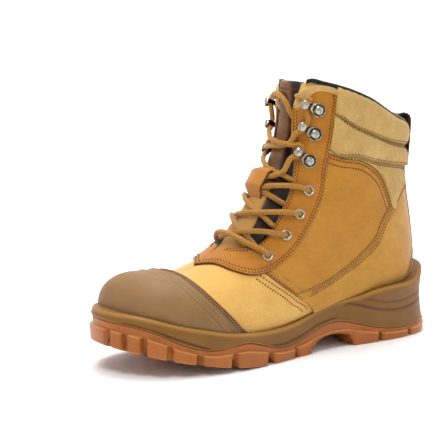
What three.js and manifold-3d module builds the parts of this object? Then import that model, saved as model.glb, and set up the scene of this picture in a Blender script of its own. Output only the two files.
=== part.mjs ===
// A laced safety work boot for the left foot: hollow upper, overlays, tongue, lacing and a
// two-colour sole. Millimetres. +X runs to the toe, +Y to the outer side of the foot, +Z up.
// The origin lies on the floor under the middle of the heel.
import * as THREE from "three";
import Module from "manifold-3d";
import { mergeVertices } from "three/addons/utils/BufferGeometryUtils.js";

const wasm = await Module();
wasm.setup();

// Driving dimensions
const upperLength = 298; // toe to heel of the upper, without the sole's rim
const ballWidth = 100; // the upper across the ball of the foot
const shaftWidth = 75; // the shaft from side to side
const toeHeight = 72; // the toe box over the ground line
const collarHeight = 226; // floor to the front of the collar
const backHeight = 186; // floor to the back of the collar
const seatHeight = 30; // floor to the feather line under the heel
const toeSpring = 23.5; // rise of the sole at its tip
const toeMargin = 12; // the sole beyond the upper at the toe
const heelMargin = 8; // and at the heel
const sideMargin = 10; // and at each side of the ball
const outsoleWall = 22.5; // the outsole's side wall where it is highest
const rimHeight = 47; // the midsole's rim over the floor at the heel
const webHeight = 8.5; // the outsole's inner floor over the ground line
const lugDepth = 5.5; // tread under the web
const notchDepth = 5; // how far the side notches run in between the lugs
const archHeight = 12; // the hollow under the arch
const lugStep = 2.5; // how far the lugs stand proud of the wall above them
const wallThickness = 5; // the outsole's raised side wall
const leather = 2.5; // wall of the upper
const fit = 0.3; // clearance between neighbouring pieces
const capThickness = 2.6;
const eyestayThickness = 2.2;
const quarterThickness = 1.3;
const counterThickness = 1.4;
const backstayThickness = 2;
const padThickness = 2.2; // collar pads at their seams
const padCrown = 3.2; // and what they swell between the seams
const insoleThickness = 4;
const tongueThickness = 3.5;
const tongueLift = 1; // the tongue in the throat over the line of the upper
const laceDiameter = 4.4;
const eyeletOuter = 9.4;
const eyeletHole = 4.8;
const eyeletHeight = 1.2;
const hookWidth = 4.4;
const hookLength = 13;
const hookHeight = 6.4;
const rivetDiameter = 8.6;
const keeperWidth = 13;
const loopWidth = 22;
const loopRise = 9; // the pull loop over the collar
const strapThickness = 2;

// Mesh fineness
const turnSteps = 22;
const liningSteps = 22;
const soleSteps = 22;
const roundSides = 8;

// The upper's front and top edge seen from the side, from the toe (t 0) to above the collar.
// x is a share of upperLength, low of toeHeight, rise of what the collar stands over the toe box.
const FRONT = [
  { t: 0.0, x: 0.874, low: 0.263, rise: 0 },
  { t: 0.03, x: 0.8775, low: 0.36, rise: 0 },
  { t: 0.07, x: 0.8745, low: 0.5, rise: 0 },
  { t: 0.12, x: 0.86, low: 0.66, rise: 0 },
  { t: 0.17, x: 0.826, low: 0.785, rise: 0 },
  { t: 0.24, x: 0.757, low: 0.865, rise: 0 },
  { t: 0.32, x: 0.667, low: 0.95, rise: 0 },
  { t: 0.4, x: 0.567, low: 1, rise: 0.0835 },
  { t: 0.48, x: 0.49, low: 1, rise: 0.221 },
  { t: 0.56, x: 0.4295, low: 1, rise: 0.3765 },
  { t: 0.63, x: 0.389, low: 1, rise: 0.5065 },
  { t: 0.69, x: 0.366, low: 1, rise: 0.604 },
  { t: 0.75, x: 0.352, low: 1, rise: 0.675 },
  { t: 0.81, x: 0.342, low: 1, rise: 0.753 },
  { t: 0.87, x: 0.3355, low: 1, rise: 0.831 },
  { t: 0.94, x: 0.332, low: 1, rise: 0.922 },
  { t: 1.0, x: 0.329, low: 1, rise: 1 },
  { t: 1.08, x: 0.326, low: 1, rise: 1.1 },
];

// The bottom and back edge. low is a share of seatHeight, rise of what the back stands over it.
const BACK = [
  { t: 0.0, x: 0.8725, low: 0.587, rise: 0 },
  { t: 0.03, x: 0.859, low: 0.54, rise: 0 },
  { t: 0.07, x: 0.8355, low: 0.5, rise: 0 },
  { t: 0.12, x: 0.795, low: 0.467, rise: 0 },
  { t: 0.17, x: 0.7415, low: 0.47, rise: 0 },
  { t: 0.24, x: 0.668, low: 0.493, rise: 0 },
  { t: 0.32, x: 0.574, low: 0.54, rise: 0 },
  { t: 0.4, x: 0.463, low: 0.6, rise: 0 },
  { t: 0.48, x: 0.3355, low: 0.733, rise: 0 },
  { t: 0.56, x: 0.1945, low: 0.9, rise: 0 },
  { t: 0.63, x: 0.0335, low: 1, rise: 0 },
  { t: 0.69, x: -0.094, low: 1, rise: 0.026 },
  { t: 0.75, x: -0.111, low: 1, rise: 0.192 },
  { t: 0.81, x: -0.104, low: 1, rise: 0.385 },
  { t: 0.87, x: -0.084, low: 1, rise: 0.59 },
  { t: 0.94, x: -0.0705, low: 1, rise: 0.808 },
  { t: 1.0, x: -0.074, low: 1, rise: 1 },
  { t: 1.08, x: -0.078, low: 1, rise: 1.15 },
];

// Sections between the two edges. ball and shaft are shares of half of each width, swing is the
// section's shift to the outer side as a share of half the ball width, belly says where between
// front (0) and back (1) the section is widest, and the two powers say how square it is.
const GIRTH = [
  { t: 0.0, ball: 0.08, shaft: 0, swing: -0.16, belly: 0.6, frontPower: 2.0, backPower: 3.0 },
  { t: 0.03, ball: 0.36, shaft: 0, swing: -0.14, belly: 0.65, frontPower: 2.1, backPower: 3.0 },
  { t: 0.07, ball: 0.58, shaft: 0, swing: -0.12, belly: 0.68, frontPower: 2.3, backPower: 3.2 },
  { t: 0.12, ball: 0.75, shaft: 0, swing: -0.08, belly: 0.7, frontPower: 2.4, backPower: 3.5 },
  { t: 0.17, ball: 0.88, shaft: 0, swing: -0.02, belly: 0.72, frontPower: 2.4, backPower: 3.5 },
  { t: 0.24, ball: 0.98, shaft: 0, swing: 0.02, belly: 0.74, frontPower: 2.3, backPower: 3.5 },
  { t: 0.32, ball: 1.0, shaft: 0, swing: 0.02, belly: 0.74, frontPower: 2.2, backPower: 3.5 },
  { t: 0.4, ball: 0.94, shaft: 0, swing: 0.02, belly: 0.72, frontPower: 2.1, backPower: 3.2 },
  { t: 0.48, ball: 0.52, shaft: 0.453, swing: 0, belly: 0.7, frontPower: 2.0, backPower: 3.0 },
  { t: 0.56, ball: 0.2, shaft: 0.8, swing: 0, belly: 0.66, frontPower: 2.0, backPower: 2.8 },
  { t: 0.63, ball: 0, shaft: 1.0, swing: 0, belly: 0.6, frontPower: 2.0, backPower: 2.4 },
  { t: 0.69, ball: 0, shaft: 0.947, swing: 0, belly: 0.52, frontPower: 2.0, backPower: 2.0 },
  { t: 0.75, ball: 0, shaft: 0.933, swing: 0, belly: 0.46, frontPower: 2.0, backPower: 1.9 },
  { t: 0.81, ball: 0, shaft: 0.933, swing: 0, belly: 0.43, frontPower: 2.0, backPower: 1.8 },
  { t: 0.87, ball: 0, shaft: 0.947, swing: 0, belly: 0.42, frontPower: 2.1, backPower: 1.8 },
  { t: 0.94, ball: 0, shaft: 0.973, swing: 0, belly: 0.42, frontPower: 2.2, backPower: 1.9 },
  { t: 1.0, ball: 0, shaft: 1.0, swing: 0, belly: 0.42, frontPower: 2.2, backPower: 1.9 },
  { t: 1.08, ball: 0, shaft: 1.02, swing: 0, belly: 0.42, frontPower: 2.2, backPower: 1.9 },
];

// Top edge of the collar around the shaft; turn is in degrees, 0 at the front and 180 at the back
const TOPLINE = [
  { turn: 0, t: 0.955 },
  { turn: 15, t: 0.96 },
  { turn: 25, t: 0.976 },
  { turn: 33, t: 0.995 },
  { turn: 50, t: 1.0 },
  { turn: 80, t: 1.002 },
  { turn: 97, t: 0.998 },
  { turn: 112, t: 0.989 },
  { turn: 125, t: 0.985 },
  { turn: 140, t: 0.987 },
  { turn: 180, t: 0.99 },
];

// Half width of the throat, a share of half the ball width
const THROAT = [
  { t: 0.415, gap: 0.06 },
  { t: 0.425, gap: 0.3 },
  { t: 0.44, gap: 0.43 },
  { t: 0.475, gap: 0.51 },
  { t: 0.51, gap: 0.5 },
  { t: 0.555, gap: 0.46 },
  { t: 0.6, gap: 0.42 },
  { t: 0.66, gap: 0.34 },
  { t: 0.72, gap: 0.27 },
  { t: 0.79, gap: 0.2 },
  { t: 0.87, gap: 0.2 },
  { t: 0.95, gap: 0.27 },
  { t: 1.08, gap: 0.4 },
];

// Panel edges on the upper, in section place t and turn
const CAP_EDGE = [
  { t: 0.283, turn: 0 },
  { t: 0.285, turn: 17 },
  { t: 0.288, turn: 37 },
  { t: 0.295, turn: 55 },
  { t: 0.307, turn: 70 },
  { t: 0.318, turn: 83 },
  { t: 0.328, turn: 97 },
  { t: 0.336, turn: 120 },
];
const EYESTAY_EDGE = [
  { t: 0.343, turn: 0 },
  { t: 0.365, turn: 16 },
  { t: 0.38, turn: 36 },
  { t: 0.403, turn: 49 },
  { t: 0.435, turn: 56 },
  { t: 0.475, turn: 59.5 },
  { t: 0.525, turn: 60.5 },
  { t: 0.578, turn: 58 },
  { t: 0.635, turn: 55.5 },
  { t: 0.703, turn: 53.5 },
  { t: 0.787, turn: 58 },
  { t: 0.868, turn: 62 },
  { t: 0.965, turn: 64.5 },
  { t: 0.993, turn: 64 },
  { t: 0.989, turn: 51 },
  { t: 0.972, turn: 38 },
  { t: 0.95, turn: 32 },
];
const VAMP_SEAM = [
  { t: 0.43, turn: 53 },
  { t: 0.45, turn: 70 },
  { t: 0.47, turn: 84 },
  { t: 0.485, turn: 100 },
  { t: 0.492, turn: 117 },
  { t: 0.495, turn: 140 },
];
const COUNTER_EDGE = [
  { t: 0.472, turn: 84 },
  { t: 0.525, turn: 88.5 },
  { t: 0.57, turn: 91 },
  { t: 0.605, turn: 91 },
  { t: 0.655, turn: 92.5 },
  { t: 0.705, turn: 97 },
  { t: 0.76, turn: 107 },
  { t: 0.797, turn: 115.5 },
  { t: 0.835, turn: 126 },
  { t: 0.875, turn: 146 },
  { t: 0.885, turn: 180 },
];
const QUARTER_EDGE = [
  { t: 0.787, turn: 55 },
  { t: 0.815, turn: 72 },
  { t: 0.84, turn: 88 },
  { t: 0.849, turn: 98 },
  { t: 0.845, turn: 108 },
  { t: 0.825, turn: 113.5 },
  { t: 0.79, turn: 117 },
];
const BACKSTAY_EDGE = [
  { t: 0.97, turn: 156 },
  { t: 0.9, turn: 154 },
  { t: 0.84, turn: 155 },
  { t: 0.78, turn: 159 },
  { t: 0.75, turn: 152 },
  { t: 0.725, turn: 142 },
  { t: 0.695, turn: 136 },
  { t: 0.67, turn: 137 },
];

// Seams that crease the collar pads, and the line where they end below
const PAD_SEAMS = [
  { turn: 40, upper: 0.915, lower: 0.83 },
  { turn: 64, upper: 0.917, lower: 0.8 },
  { turn: 80, upper: 0.911, lower: 0.83 },
  { turn: 100, upper: 0.92, lower: 0.857 },
  { turn: 116, upper: 0.929, lower: 0.878 },
  { turn: 140, upper: 0.944, lower: 0.902 },
  { turn: 180, upper: 0.952, lower: 0.912 },
];

// The sole from above, a closed curve: x a share of the sole's length, y of its half width
const OUTLINE = [
  { x: -0.132, y: 0.033 },
  { x: -0.1195, y: 0.317 },
  { x: -0.0755, y: 0.55 },
  { x: 0, y: 0.683 },
  { x: 0.094, y: 0.717 },
  { x: 0.189, y: 0.7 },
  { x: 0.283, y: 0.717 },
  { x: 0.377, y: 0.817 },
  { x: 0.472, y: 0.933 },
  { x: 0.566, y: 1 },
  { x: 0.645, y: 0.983 },
  { x: 0.723, y: 0.883 },
  { x: 0.786, y: 0.717 },
  { x: 0.8365, y: 0.45 },
  { x: 0.865, y: 0.133 },
  { x: 0.868, y: -0.133 },
  { x: 0.855, y: -0.4 },
  { x: 0.824, y: -0.62 },
  { x: 0.77, y: -0.79 },
  { x: 0.692, y: -0.91 },
  { x: 0.5975, y: -0.955 },
  { x: 0.503, y: -0.92 },
  { x: 0.377, y: -0.8 },
  { x: 0.2515, y: -0.717 },
  { x: 0.126, y: -0.7 },
  { x: 0, y: -0.69 },
  { x: -0.0755, y: -0.55 },
  { x: -0.1195, y: -0.283 },
];

// Line between outsole and midsole over the ground line: x a share of the sole's length,
// wall a share of outsoleWall
const PARTING = [
  { x: -0.132, wall: 0.49 },
  { x: -0.1, wall: 0.467 },
  { x: -0.05, wall: 0.436 },
  { x: -0.006, wall: 0.4 },
  { x: 0.0535, wall: 0.436 },
  { x: 0.107, wall: 0.573 },
  { x: 0.157, wall: 0.76 },
  { x: 0.2075, wall: 0.964 },
  { x: 0.239, wall: 1 },
  { x: 0.277, wall: 0.942 },
  { x: 0.311, wall: 0.813 },
  { x: 0.368, wall: 0.573 },
  { x: 0.428, wall: 0.507 },
  { x: 0.462, wall: 0.587 },
  { x: 0.509, wall: 0.764 },
  { x: 0.547, wall: 0.853 },
  { x: 0.594, wall: 0.755 },
  { x: 0.623, wall: 0.64 },
  { x: 0.648, wall: 0.56 },
  { x: 0.673, wall: 0.538 },
  { x: 0.733, wall: 0.636 },
  { x: 0.792, wall: 0.853 },
  { x: 0.827, wall: 0.88 },
  { x: 0.868, wall: 0.83 },
];

// Top of the midsole's rim over the ground line, a share of rimHeight
const RIM = [
  { x: -0.132, rim: 1.3 },
  { x: -0.107, rim: 1.23 },
  { x: -0.079, rim: 1.12 },
  { x: -0.05, rim: 1.04 },
  { x: -0.022, rim: 1.01 },
  { x: 0.038, rim: 1 },
  { x: 0.11, rim: 0.955 },
  { x: 0.157, rim: 0.895 },
  { x: 0.2075, rim: 0.862 },
  { x: 0.261, rim: 0.819 },
  { x: 0.292, rim: 0.766 },
  { x: 0.33, rim: 0.691 },
  { x: 0.4057, rim: 0.596 },
  { x: 0.481, rim: 0.585 },
  { x: 0.547, rim: 0.581 },
  { x: 0.607, rim: 0.579 },
  { x: 0.66, rim: 0.594 },
  { x: 0.7075, rim: 0.6 },
  { x: 0.7515, rim: 0.606 },
  { x: 0.792, rim: 0.62 },
  { x: 0.827, rim: 0.61 },
  { x: 0.868, rim: 0.56 },
];

// Side lugs: stretches of the sole's length between which the notches lie, per side
const SIDE_LUGS = [
  { from: -0.105, to: -0.025 },
  { from: -0.012, to: 0.083 },
  { from: 0.097, to: 0.186 },
  { from: 0.327, to: 0.377 },
  { from: 0.39, to: 0.464 },
  { from: 0.4875, to: 0.583 },
  { from: 0.601, to: 0.679 },
  { from: 0.695, to: 0.75 },
  { from: 0.762, to: 0.805 },
];
// Lugs around the tip of the toe and the back of the heel: y as shares of the half width
const TOE_LUGS = [
  { from: 0.44, to: 0.62 },
  { from: 0.2, to: 0.37 },
  { from: -0.4, to: 0.12 },
  { from: -0.62, to: -0.47 },
];
const HEEL_LUGS = [
  { from: -0.3, to: -0.04 },
  { from: 0.04, to: 0.33 },
];
// Blocks in the middle of the tread: x as shares of the sole's length, y of its half width
const CENTRE_LUGS = [
  { from: -0.045, to: 0.055, near: -0.24, far: 0.25 },
  { from: 0.075, to: 0.165, near: -0.24, far: 0.25 },
  { from: 0.345, to: 0.42, near: -0.36, far: 0.36 },
  { from: 0.445, to: 0.52, near: -0.48, far: -0.05 },
  { from: 0.445, to: 0.52, near: 0.05, far: 0.5 },
  { from: 0.545, to: 0.625, near: -0.5, far: -0.05 },
  { from: 0.545, to: 0.625, near: 0.05, far: 0.54 },
  { from: 0.65, to: 0.715, near: -0.45, far: 0.42 },
];
// The hollow under the arch from the side: x a share of the sole's length, up of archHeight
const ARCH = [
  { x: 0.185, up: -1 },
  { x: 0.185, up: 0.5 },
  { x: 0.2075, up: 0.9 },
  { x: 0.239, up: 1.02 },
  { x: 0.277, up: 0.94 },
  { x: 0.311, up: 0.54 },
  { x: 0.329, up: 0 },
  { x: 0.329, up: -1 },
];

// Eyelets and hooks on the eyestay, from the bottom of the throat up
const EYELETS = [
  { t: 0.463, turn: 47.5 },
  { t: 0.527, turn: 48.5 },
  { t: 0.583, turn: 47.5 },
  { t: 0.642, turn: 44.5 },
];
const HOOKS = [
  { t: 0.72, turn: 39.5 },
  { t: 0.82, turn: 43 },
  { t: 0.905, turn: 46 },
];

const outsoleLength = upperLength + toeMargin + heelMargin;
const soleHalfWidth = ballWidth / 2 + sideMargin;
const springStart = 0.472 * outsoleLength;
const springRun = 0.868 * outsoleLength - springStart;
const heelBevel = 4;
const beyond = 20; // how far cutters reach past what they cut

// Small vector helpers
const add = (a, b, k = 1) => [a[0] + b[0] * k, a[1] + b[1] * k, a[2] + b[2] * k];
const sub = (a, b) => add(a, b, -1);
const cross = (a, b) => [
  a[1] * b[2] - a[2] * b[1],
  a[2] * b[0] - a[0] * b[2],
  a[0] * b[1] - a[1] * b[0],
];
const unit = (a) => {
  const length = Math.hypot(a[0], a[1], a[2]) || 1;
  return [a[0] / length, a[1] / length, a[2] / length];
};
const radians = (degrees) => (degrees * Math.PI) / 180;
const clamp = (value, low, high) => Math.min(high, Math.max(low, value));
const smooth = (value) => {
  const s = clamp(value, 0, 1);
  return s * s * (3 - 2 * s);
};

// Smooth curve through one column of a table
function read(table, key, column, place) {
  const last = table.length - 1;
  const at = clamp(place, table[0][key], table[last][key]);
  const run = (i) => table[i + 1][key] - table[i][key];
  const rise = (i) => (table[i + 1][column] - table[i][column]) / run(i);
  const inner = (i) => (rise(i - 1) * run(i) + rise(i) * run(i - 1)) / (run(i) + run(i - 1));
  const slope = (i) => {
    if (last < 2) return rise(0);
    if (i === 0) return 1.5 * rise(0) - 0.5 * inner(1);
    if (i === last) return 1.5 * rise(last - 1) - 0.5 * inner(last - 1);
    return inner(i);
  };
  let i = 0;
  while (i < last - 1 && at > table[i + 1][key]) i += 1;
  const s = (at - table[i][key]) / run(i);
  const h00 = (1 + 2 * s) * (1 - s) * (1 - s);
  const h10 = s * (1 - s) * (1 - s);
  const h01 = s * s * (3 - 2 * s);
  const h11 = s * s * (s - 1);
  const ends = h00 * table[i][column] + h01 * table[i + 1][column];
  return ends + run(i) * (h10 * slope(i) + h11 * slope(i + 1));
}

// Rise of the ground line under the forefoot, and the bevel at the back of the heel
function spring(x) {
  return toeSpring * Math.pow(Math.max(0, (x - springStart) / springRun), 1.6);
}
function ground(x) {
  const heelStart = -0.044 * outsoleLength;
  return spring(x) + heelBevel * Math.pow(Math.max(0, (heelStart - x) / (0.088 * outsoleLength)), 2);
}

// A point of the upper's outer form, before any thickness
function form(t, turn) {
  const frontX = read(FRONT, "t", "x", t) * upperLength;
  const frontZ = spring(frontX) + read(FRONT, "t", "low", t) * toeHeight
    + read(FRONT, "t", "rise", t) * (collarHeight - toeHeight);
  const backX = read(BACK, "t", "x", t) * upperLength;
  const backZ = spring(backX) + read(BACK, "t", "low", t) * seatHeight
    + read(BACK, "t", "rise", t) * (backHeight - seatHeight);
  const halfWidth = (read(GIRTH, "t", "ball", t) * ballWidth + read(GIRTH, "t", "shaft", t) * shaftWidth) / 2;
  const belly = read(GIRTH, "t", "belly", t);
  const c = Math.cos(turn);
  const s = Math.sin(turn);
  const power = read(GIRTH, "t", c >= 0 ? "frontPower" : "backPower", t);
  const radius = Math.pow(Math.pow(Math.abs(c), power) + Math.pow(Math.abs(s), power), -1 / power);
  const along = radius * c;
  const share = along >= 0 ? belly - belly * along : belly - (1 - belly) * along;
  return [
    frontX + (backX - frontX) * share,
    (read(GIRTH, "t", "swing", t) * ballWidth) / 2 + halfWidth * radius * s,
    frontZ + (backZ - frontZ) * share,
  ];
}

// The outward direction of the upper's surface
function outward(t, turn) {
  const step = 0.001;
  const along = sub(form(t + step, turn), form(Math.max(0, t - step), turn));
  const around = sub(form(t, turn + 0.004), form(t, turn - 0.004));
  return unit(cross(around, along));
}

// A point that lies off the form by a thickness
function skin(t, turn, off) {
  return add(form(t, turn), outward(t, turn), off);
}

// Closed solids from vertices and triangles
function solidOf(vertices, triangles) {
  let volume = 0;
  for (const [a, b, c] of triangles) {
    const n = cross(vertices[b], vertices[c]);
    volume += vertices[a][0] * n[0] + vertices[a][1] * n[1] + vertices[a][2] * n[2];
  }
  const faces = volume > 0 ? triangles : triangles.map(([a, b, c]) => [a, c, b]);
  const mesh = new wasm.Mesh({
    numProp: 3,
    vertProperties: new Float32Array(vertices.flat()),
    triVerts: new Uint32Array(faces.flat()),
  });
  return new wasm.Manifold(mesh);
}

// A solid between rings of points. Its two ends close as a fan about their middle,
// or, for a ring that runs up one side and down the other, as a ladder between the sides.
function loft(rings, ends) {
  const count = rings[0].length;
  const vertices = rings.flat();
  const triangles = [];
  for (let i = 0; i + 1 < rings.length; i += 1) {
    for (let j = 0; j < count; j += 1) {
      const a = i * count + j;
      const b = i * count + ((j + 1) % count);
      triangles.push([a, b, b + count], [a, b + count, a + count]);
    }
  }
  const close = (first, flip) => {
    const push = (a, b, c) => triangles.push(flip ? [a, c, b] : [a, b, c]);
    if (ends === "fan") {
      const middle = [0, 0, 0];
      for (let j = 0; j < count; j += 1) {
        for (let k = 0; k < 3; k += 1) middle[k] += vertices[first + j][k] / count;
      }
      vertices.push(middle);
      const m = vertices.length - 1;
      for (let j = 0; j < count; j += 1) push(m, first + ((j + 1) % count), first + j);
      return;
    }
    for (let j = 0; j < count / 2; j += 1) {
      const a = first + j;
      const b = first + j + 1;
      const c = first + ((count - j) % count);
      const d = first + count - j - 1;
      if (b !== d) push(a, d, b);
      if (a !== c) push(a, c, d);
    }
  };
  close(0, false);
  close((rings.length - 1) * count, true);
  return solidOf(vertices, triangles);
}

// A sheet of even thickness about a grid of points
function sheet(grid, thickness) {
  const rows = grid.length;
  const columns = grid[0].length;
  const offset = (side) => grid.map((row, i) => row.map((point, j) => {
    const along = sub(grid[Math.min(i + 1, rows - 1)][j], grid[Math.max(i - 1, 0)][j]);
    const across = sub(row[Math.min(j + 1, columns - 1)], row[Math.max(j - 1, 0)]);
    return add(point, unit(cross(along, across)), (side * thickness) / 2);
  }));
  const top = offset(1);
  const bottom = offset(-1);
  const rings = top.map((row, i) => [...row, ...bottom[i].slice().reverse()]);
  return loft(rings, "ladder");
}

// The body of the upper at an offset, closed, up to the topline or a little past it
const ROWS = [
  0, 0.025, 0.06, 0.11, 0.175, 0.25, 0.33, 0.39, 0.44, 0.49, 0.545, 0.6,
  0.65, 0.69, 0.74, 0.8, 0.855, 0.885, 0.915, 0.95, 0.975, 1,
];
const collarStart = 0.855;
function body(thickness, past = 0, steps = turnSteps) {
  const rings = ROWS.map((row) => {
    const ring = [];
    for (let j = 0; j < steps; j += 1) {
      const turn = (j / steps) * 2 * Math.PI;
      const degrees = Math.abs(((turn * 180) / Math.PI + 180) % 360 - 180);
      const top = read(TOPLINE, "turn", "t", degrees) + past;
      const share = (row - collarStart) / (1 - collarStart);
      const t = row <= collarStart ? row : collarStart + share * (top - collarStart);
      const off = typeof thickness === "function" ? thickness(t, degrees) : thickness;
      ring.push(skin(t, turn, off));
    }
    return ring;
  });
  return loft(rings, "fan");
}

// A three.js geometry as a solid
function fromGeometry(geometry) {
  geometry.deleteAttribute("normal");
  geometry.deleteAttribute("uv");
  const merged = mergeVertices(geometry, 1e-4);
  const mesh = new wasm.Mesh({
    numProp: 3,
    vertProperties: new Float32Array(merged.attributes.position.array),
    triVerts: new Uint32Array(merged.index.array),
  });
  return new wasm.Manifold(mesh);
}

// A prism across the boot over an outline seen from the side
function sidePrism(points, from, to) {
  const shape = new THREE.Shape(points.map(([x, z]) => new THREE.Vector2(x, z)));
  const geometry = new THREE.ExtrudeGeometry(shape, { depth: to - from, bevelEnabled: false });
  geometry.rotateX(Math.PI / 2);
  geometry.translate(0, to, 0);
  return fromGeometry(geometry);
}

// An outline moved out by a clearance
function grow(points, by) {
  let area = 0;
  points.forEach(([x, z], i) => {
    const [nx, nz] = points[(i + 1) % points.length];
    area += x * nz - nx * z;
  });
  const side = area > 0 ? 1 : -1;
  return points.map(([x, z], i) => {
    const [px, pz] = points[(i + points.length - 1) % points.length];
    const [nx, nz] = points[(i + 1) % points.length];
    const a = unit([x - px, 0, z - pz]);
    const b = unit([nx - x, 0, nz - z]);
    const tangent = unit([a[0] + b[0], 0, a[2] + b[2]]);
    const stretch = 1 / Math.max(0.6, tangent[0] * a[0] + tangent[2] * a[2]);
    return [x + side * tangent[2] * by * stretch, z - side * tangent[0] * by * stretch];
  });
}

// A panel edge from the side, and points in front of, behind or under the boot
const seen = (row) => {
  const [x, , z] = form(row.t, radians(row.turn));
  return [x, z];
};
const outside = (t, turn, far = beyond) => {
  const [x, , z] = skin(t, radians(turn), far);
  return [x, z];
};
const corners = {
  toeLow: [upperLength + beyond, -beyond],
  toeHigh: [upperLength + beyond, collarHeight],
  heelLow: [-upperLength / 2, -beyond],
  heelHigh: [-upperLength / 2, collarHeight + 3 * beyond],
  collarHigh: [upperLength / 3, collarHeight + 3 * beyond],
};

const OUTLINES = {
  cap: [
    outside(0.283, 0),
    ...CAP_EDGE.map(seen),
    outside(0.34, 180, 2 * beyond),
    corners.toeLow,
    corners.toeHigh,
  ],
  eyestay: [outside(0.343, 0), ...EYESTAY_EDGE.map(seen), outside(0.945, 0)],
  quarter: [
    ...VAMP_SEAM.slice(0, 4).map(seen),
    seen({ t: 0.57, turn: 105 }),
    seen({ t: 0.68, turn: 108 }),
    seen({ t: 0.76, turn: 118 }),
    ...QUARTER_EDGE.slice().reverse().map(seen),
    seen({ t: 0.7, turn: 46 }),
    seen({ t: 0.58, turn: 50 }),
    seen({ t: 0.48, turn: 52 }),
  ],
  counter: [
    ...COUNTER_EDGE.map(seen),
    outside(0.885, 180),
    corners.heelLow,
    outside(0.5, 180, 2 * beyond),
    ...VAMP_SEAM.slice(3).reverse().map(seen),
  ],
  collar: [
    outside(0.78, 0),
    seen({ t: 0.78, turn: 40 }),
    seen({ t: 0.77, turn: 60 }),
    seen({ t: 0.79, turn: 90 }),
    seen({ t: 0.76, turn: 117 }),
    seen({ t: 0.8, turn: 135 }),
    outside(0.85, 180),
    corners.heelHigh,
    corners.collarHigh,
  ],
  backstay: [
    ...BACKSTAY_EDGE.map(seen),
    outside(0.66, 160),
    corners.heelLow,
    outside(0.97, 180),
  ],
};

const wide = ballWidth;
const prismOf = (name, by = 0) => sidePrism(by ? grow(OUTLINES[name], by) : OUTLINES[name], -wide, wide);

// Collar pads: thick between their seams, thin along them
function padProfile(t, turn) {
  const upperSeam = read(PAD_SEAMS, "turn", "upper", turn);
  const lowerSeam = read(PAD_SEAMS, "turn", "lower", turn);
  const top = read(TOPLINE, "turn", "t", turn);
  const swell = (from, to) => Math.sqrt(Math.max(0, 1 - Math.pow((2 * t - from - to) / (to - from), 2)));
  const roll = swell(upperSeam, top + 0.004);
  const band = 0.85 * swell(lowerSeam, upperSeam);
  const wedge = 0.45 * swell(lowerSeam - 0.13, lowerSeam);
  return padThickness + padCrown * Math.max(roll, band, wedge);
}

// Half width of the throat at t
const gapAt = (t) => (read(THROAT, "t", "gap", t) * ballWidth) / 2;

// What the throat takes out of every layer of the upper
function throatCutter() {
  const rings = [];
  for (const row of THROAT) {
    const [x, , z] = form(row.t, 0);
    const normal = outward(row.t, 0);
    const gap = gapAt(row.t);
    const out = [x + normal[0] * beyond, z + normal[2] * beyond];
    const inn = [x - normal[0] * 1.4 * beyond, z - normal[2] * 1.4 * beyond];
    rings.push([
      [out[0], -gap, out[1]],
      [out[0], gap, out[1]],
      [inn[0], gap, inn[1]],
      [inn[0], -gap, inn[1]],
    ]);
  }
  return loft(rings, "fan");
}

// Sole outline, up the outer side from heel to toe and back along the inner side
function soleOutline() {
  const points = OUTLINE.map(({ x, y }) => new THREE.Vector3(x * outsoleLength, y * soleHalfWidth, 0));
  const curve = new THREE.CatmullRomCurve3(points, true, "centripetal");
  const fine = curve.getPoints(600).slice(0, 600);
  const tip = fine.reduce((best, point, i) => (point.x > fine[best].x ? i : best), 0);
  const side = (list) => {
    const lengths = [0];
    for (let i = 1; i < list.length; i += 1) lengths.push(lengths[i - 1] + list[i].distanceTo(list[i - 1]));
    const total = lengths[lengths.length - 1];
    const picked = [];
    let k = 0;
    for (let i = 0; i < soleSteps; i += 1) {
      const want = (i / soleSteps) * total;
      while (lengths[k + 1] < want) k += 1;
      const s = (want - lengths[k]) / (lengths[k + 1] - lengths[k]);
      const point = list[k].clone().lerp(list[k + 1], s);
      picked.push([point.x, point.y]);
    }
    return picked;
  };
  return [...side(fine.slice(0, tip + 1)), ...side([...fine.slice(tip), fine[0]])];
}
const soleLine = soleOutline();
const soleNormals = soleLine.map((point, i) => {
  const [px, py] = soleLine[(i + soleLine.length - 1) % soleLine.length];
  const [nx, ny] = soleLine[(i + 1) % soleLine.length];
  return unit([-(ny - py), nx - px, 0]);
});
const partingAt = (x) => read(PARTING, "x", "wall", x / outsoleLength) * outsoleWall;
const rimAt = (x) => read(RIM, "x", "rim", x / outsoleLength) * rimHeight;
const archSwell = (x) => 0.67 * archHeight * Math.exp(-Math.pow((x / outsoleLength - 0.2515) / 0.069, 2));
const webAt = (x) => ground(x) + Math.min(webHeight + archSwell(x), partingAt(x) - fit);
const lugTopAt = (x) => ground(x) + 0.68 * partingAt(x);

// One ring of the sole: in by an inset, at a height that follows its length
function soleRing(inset, height) {
  return soleLine.map(([x, y], i) => {
    const px = x - soleNormals[i][0] * inset;
    const py = y - soleNormals[i][1] * inset;
    return [px, py, height(px, i)];
  });
}

// A lug with drafted sides over a four-cornered plan
function lugPrism(plan, top) {
  const mean = (axis) => plan.reduce((sum, corner) => sum + corner[axis] / plan.length, 0);
  const middle = [mean(0), mean(1)];
  const ring = (z, draft) => plan.map(([x, y]) => {
    const away = unit([x - middle[0], y - middle[1], 0]);
    return [x - away[0] * draft, y - away[1] * draft, z];
  });
  return loft([ring(-beyond, 1.6), ring(0, 1.6), ring(top, 0)], "fan");
}

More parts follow.
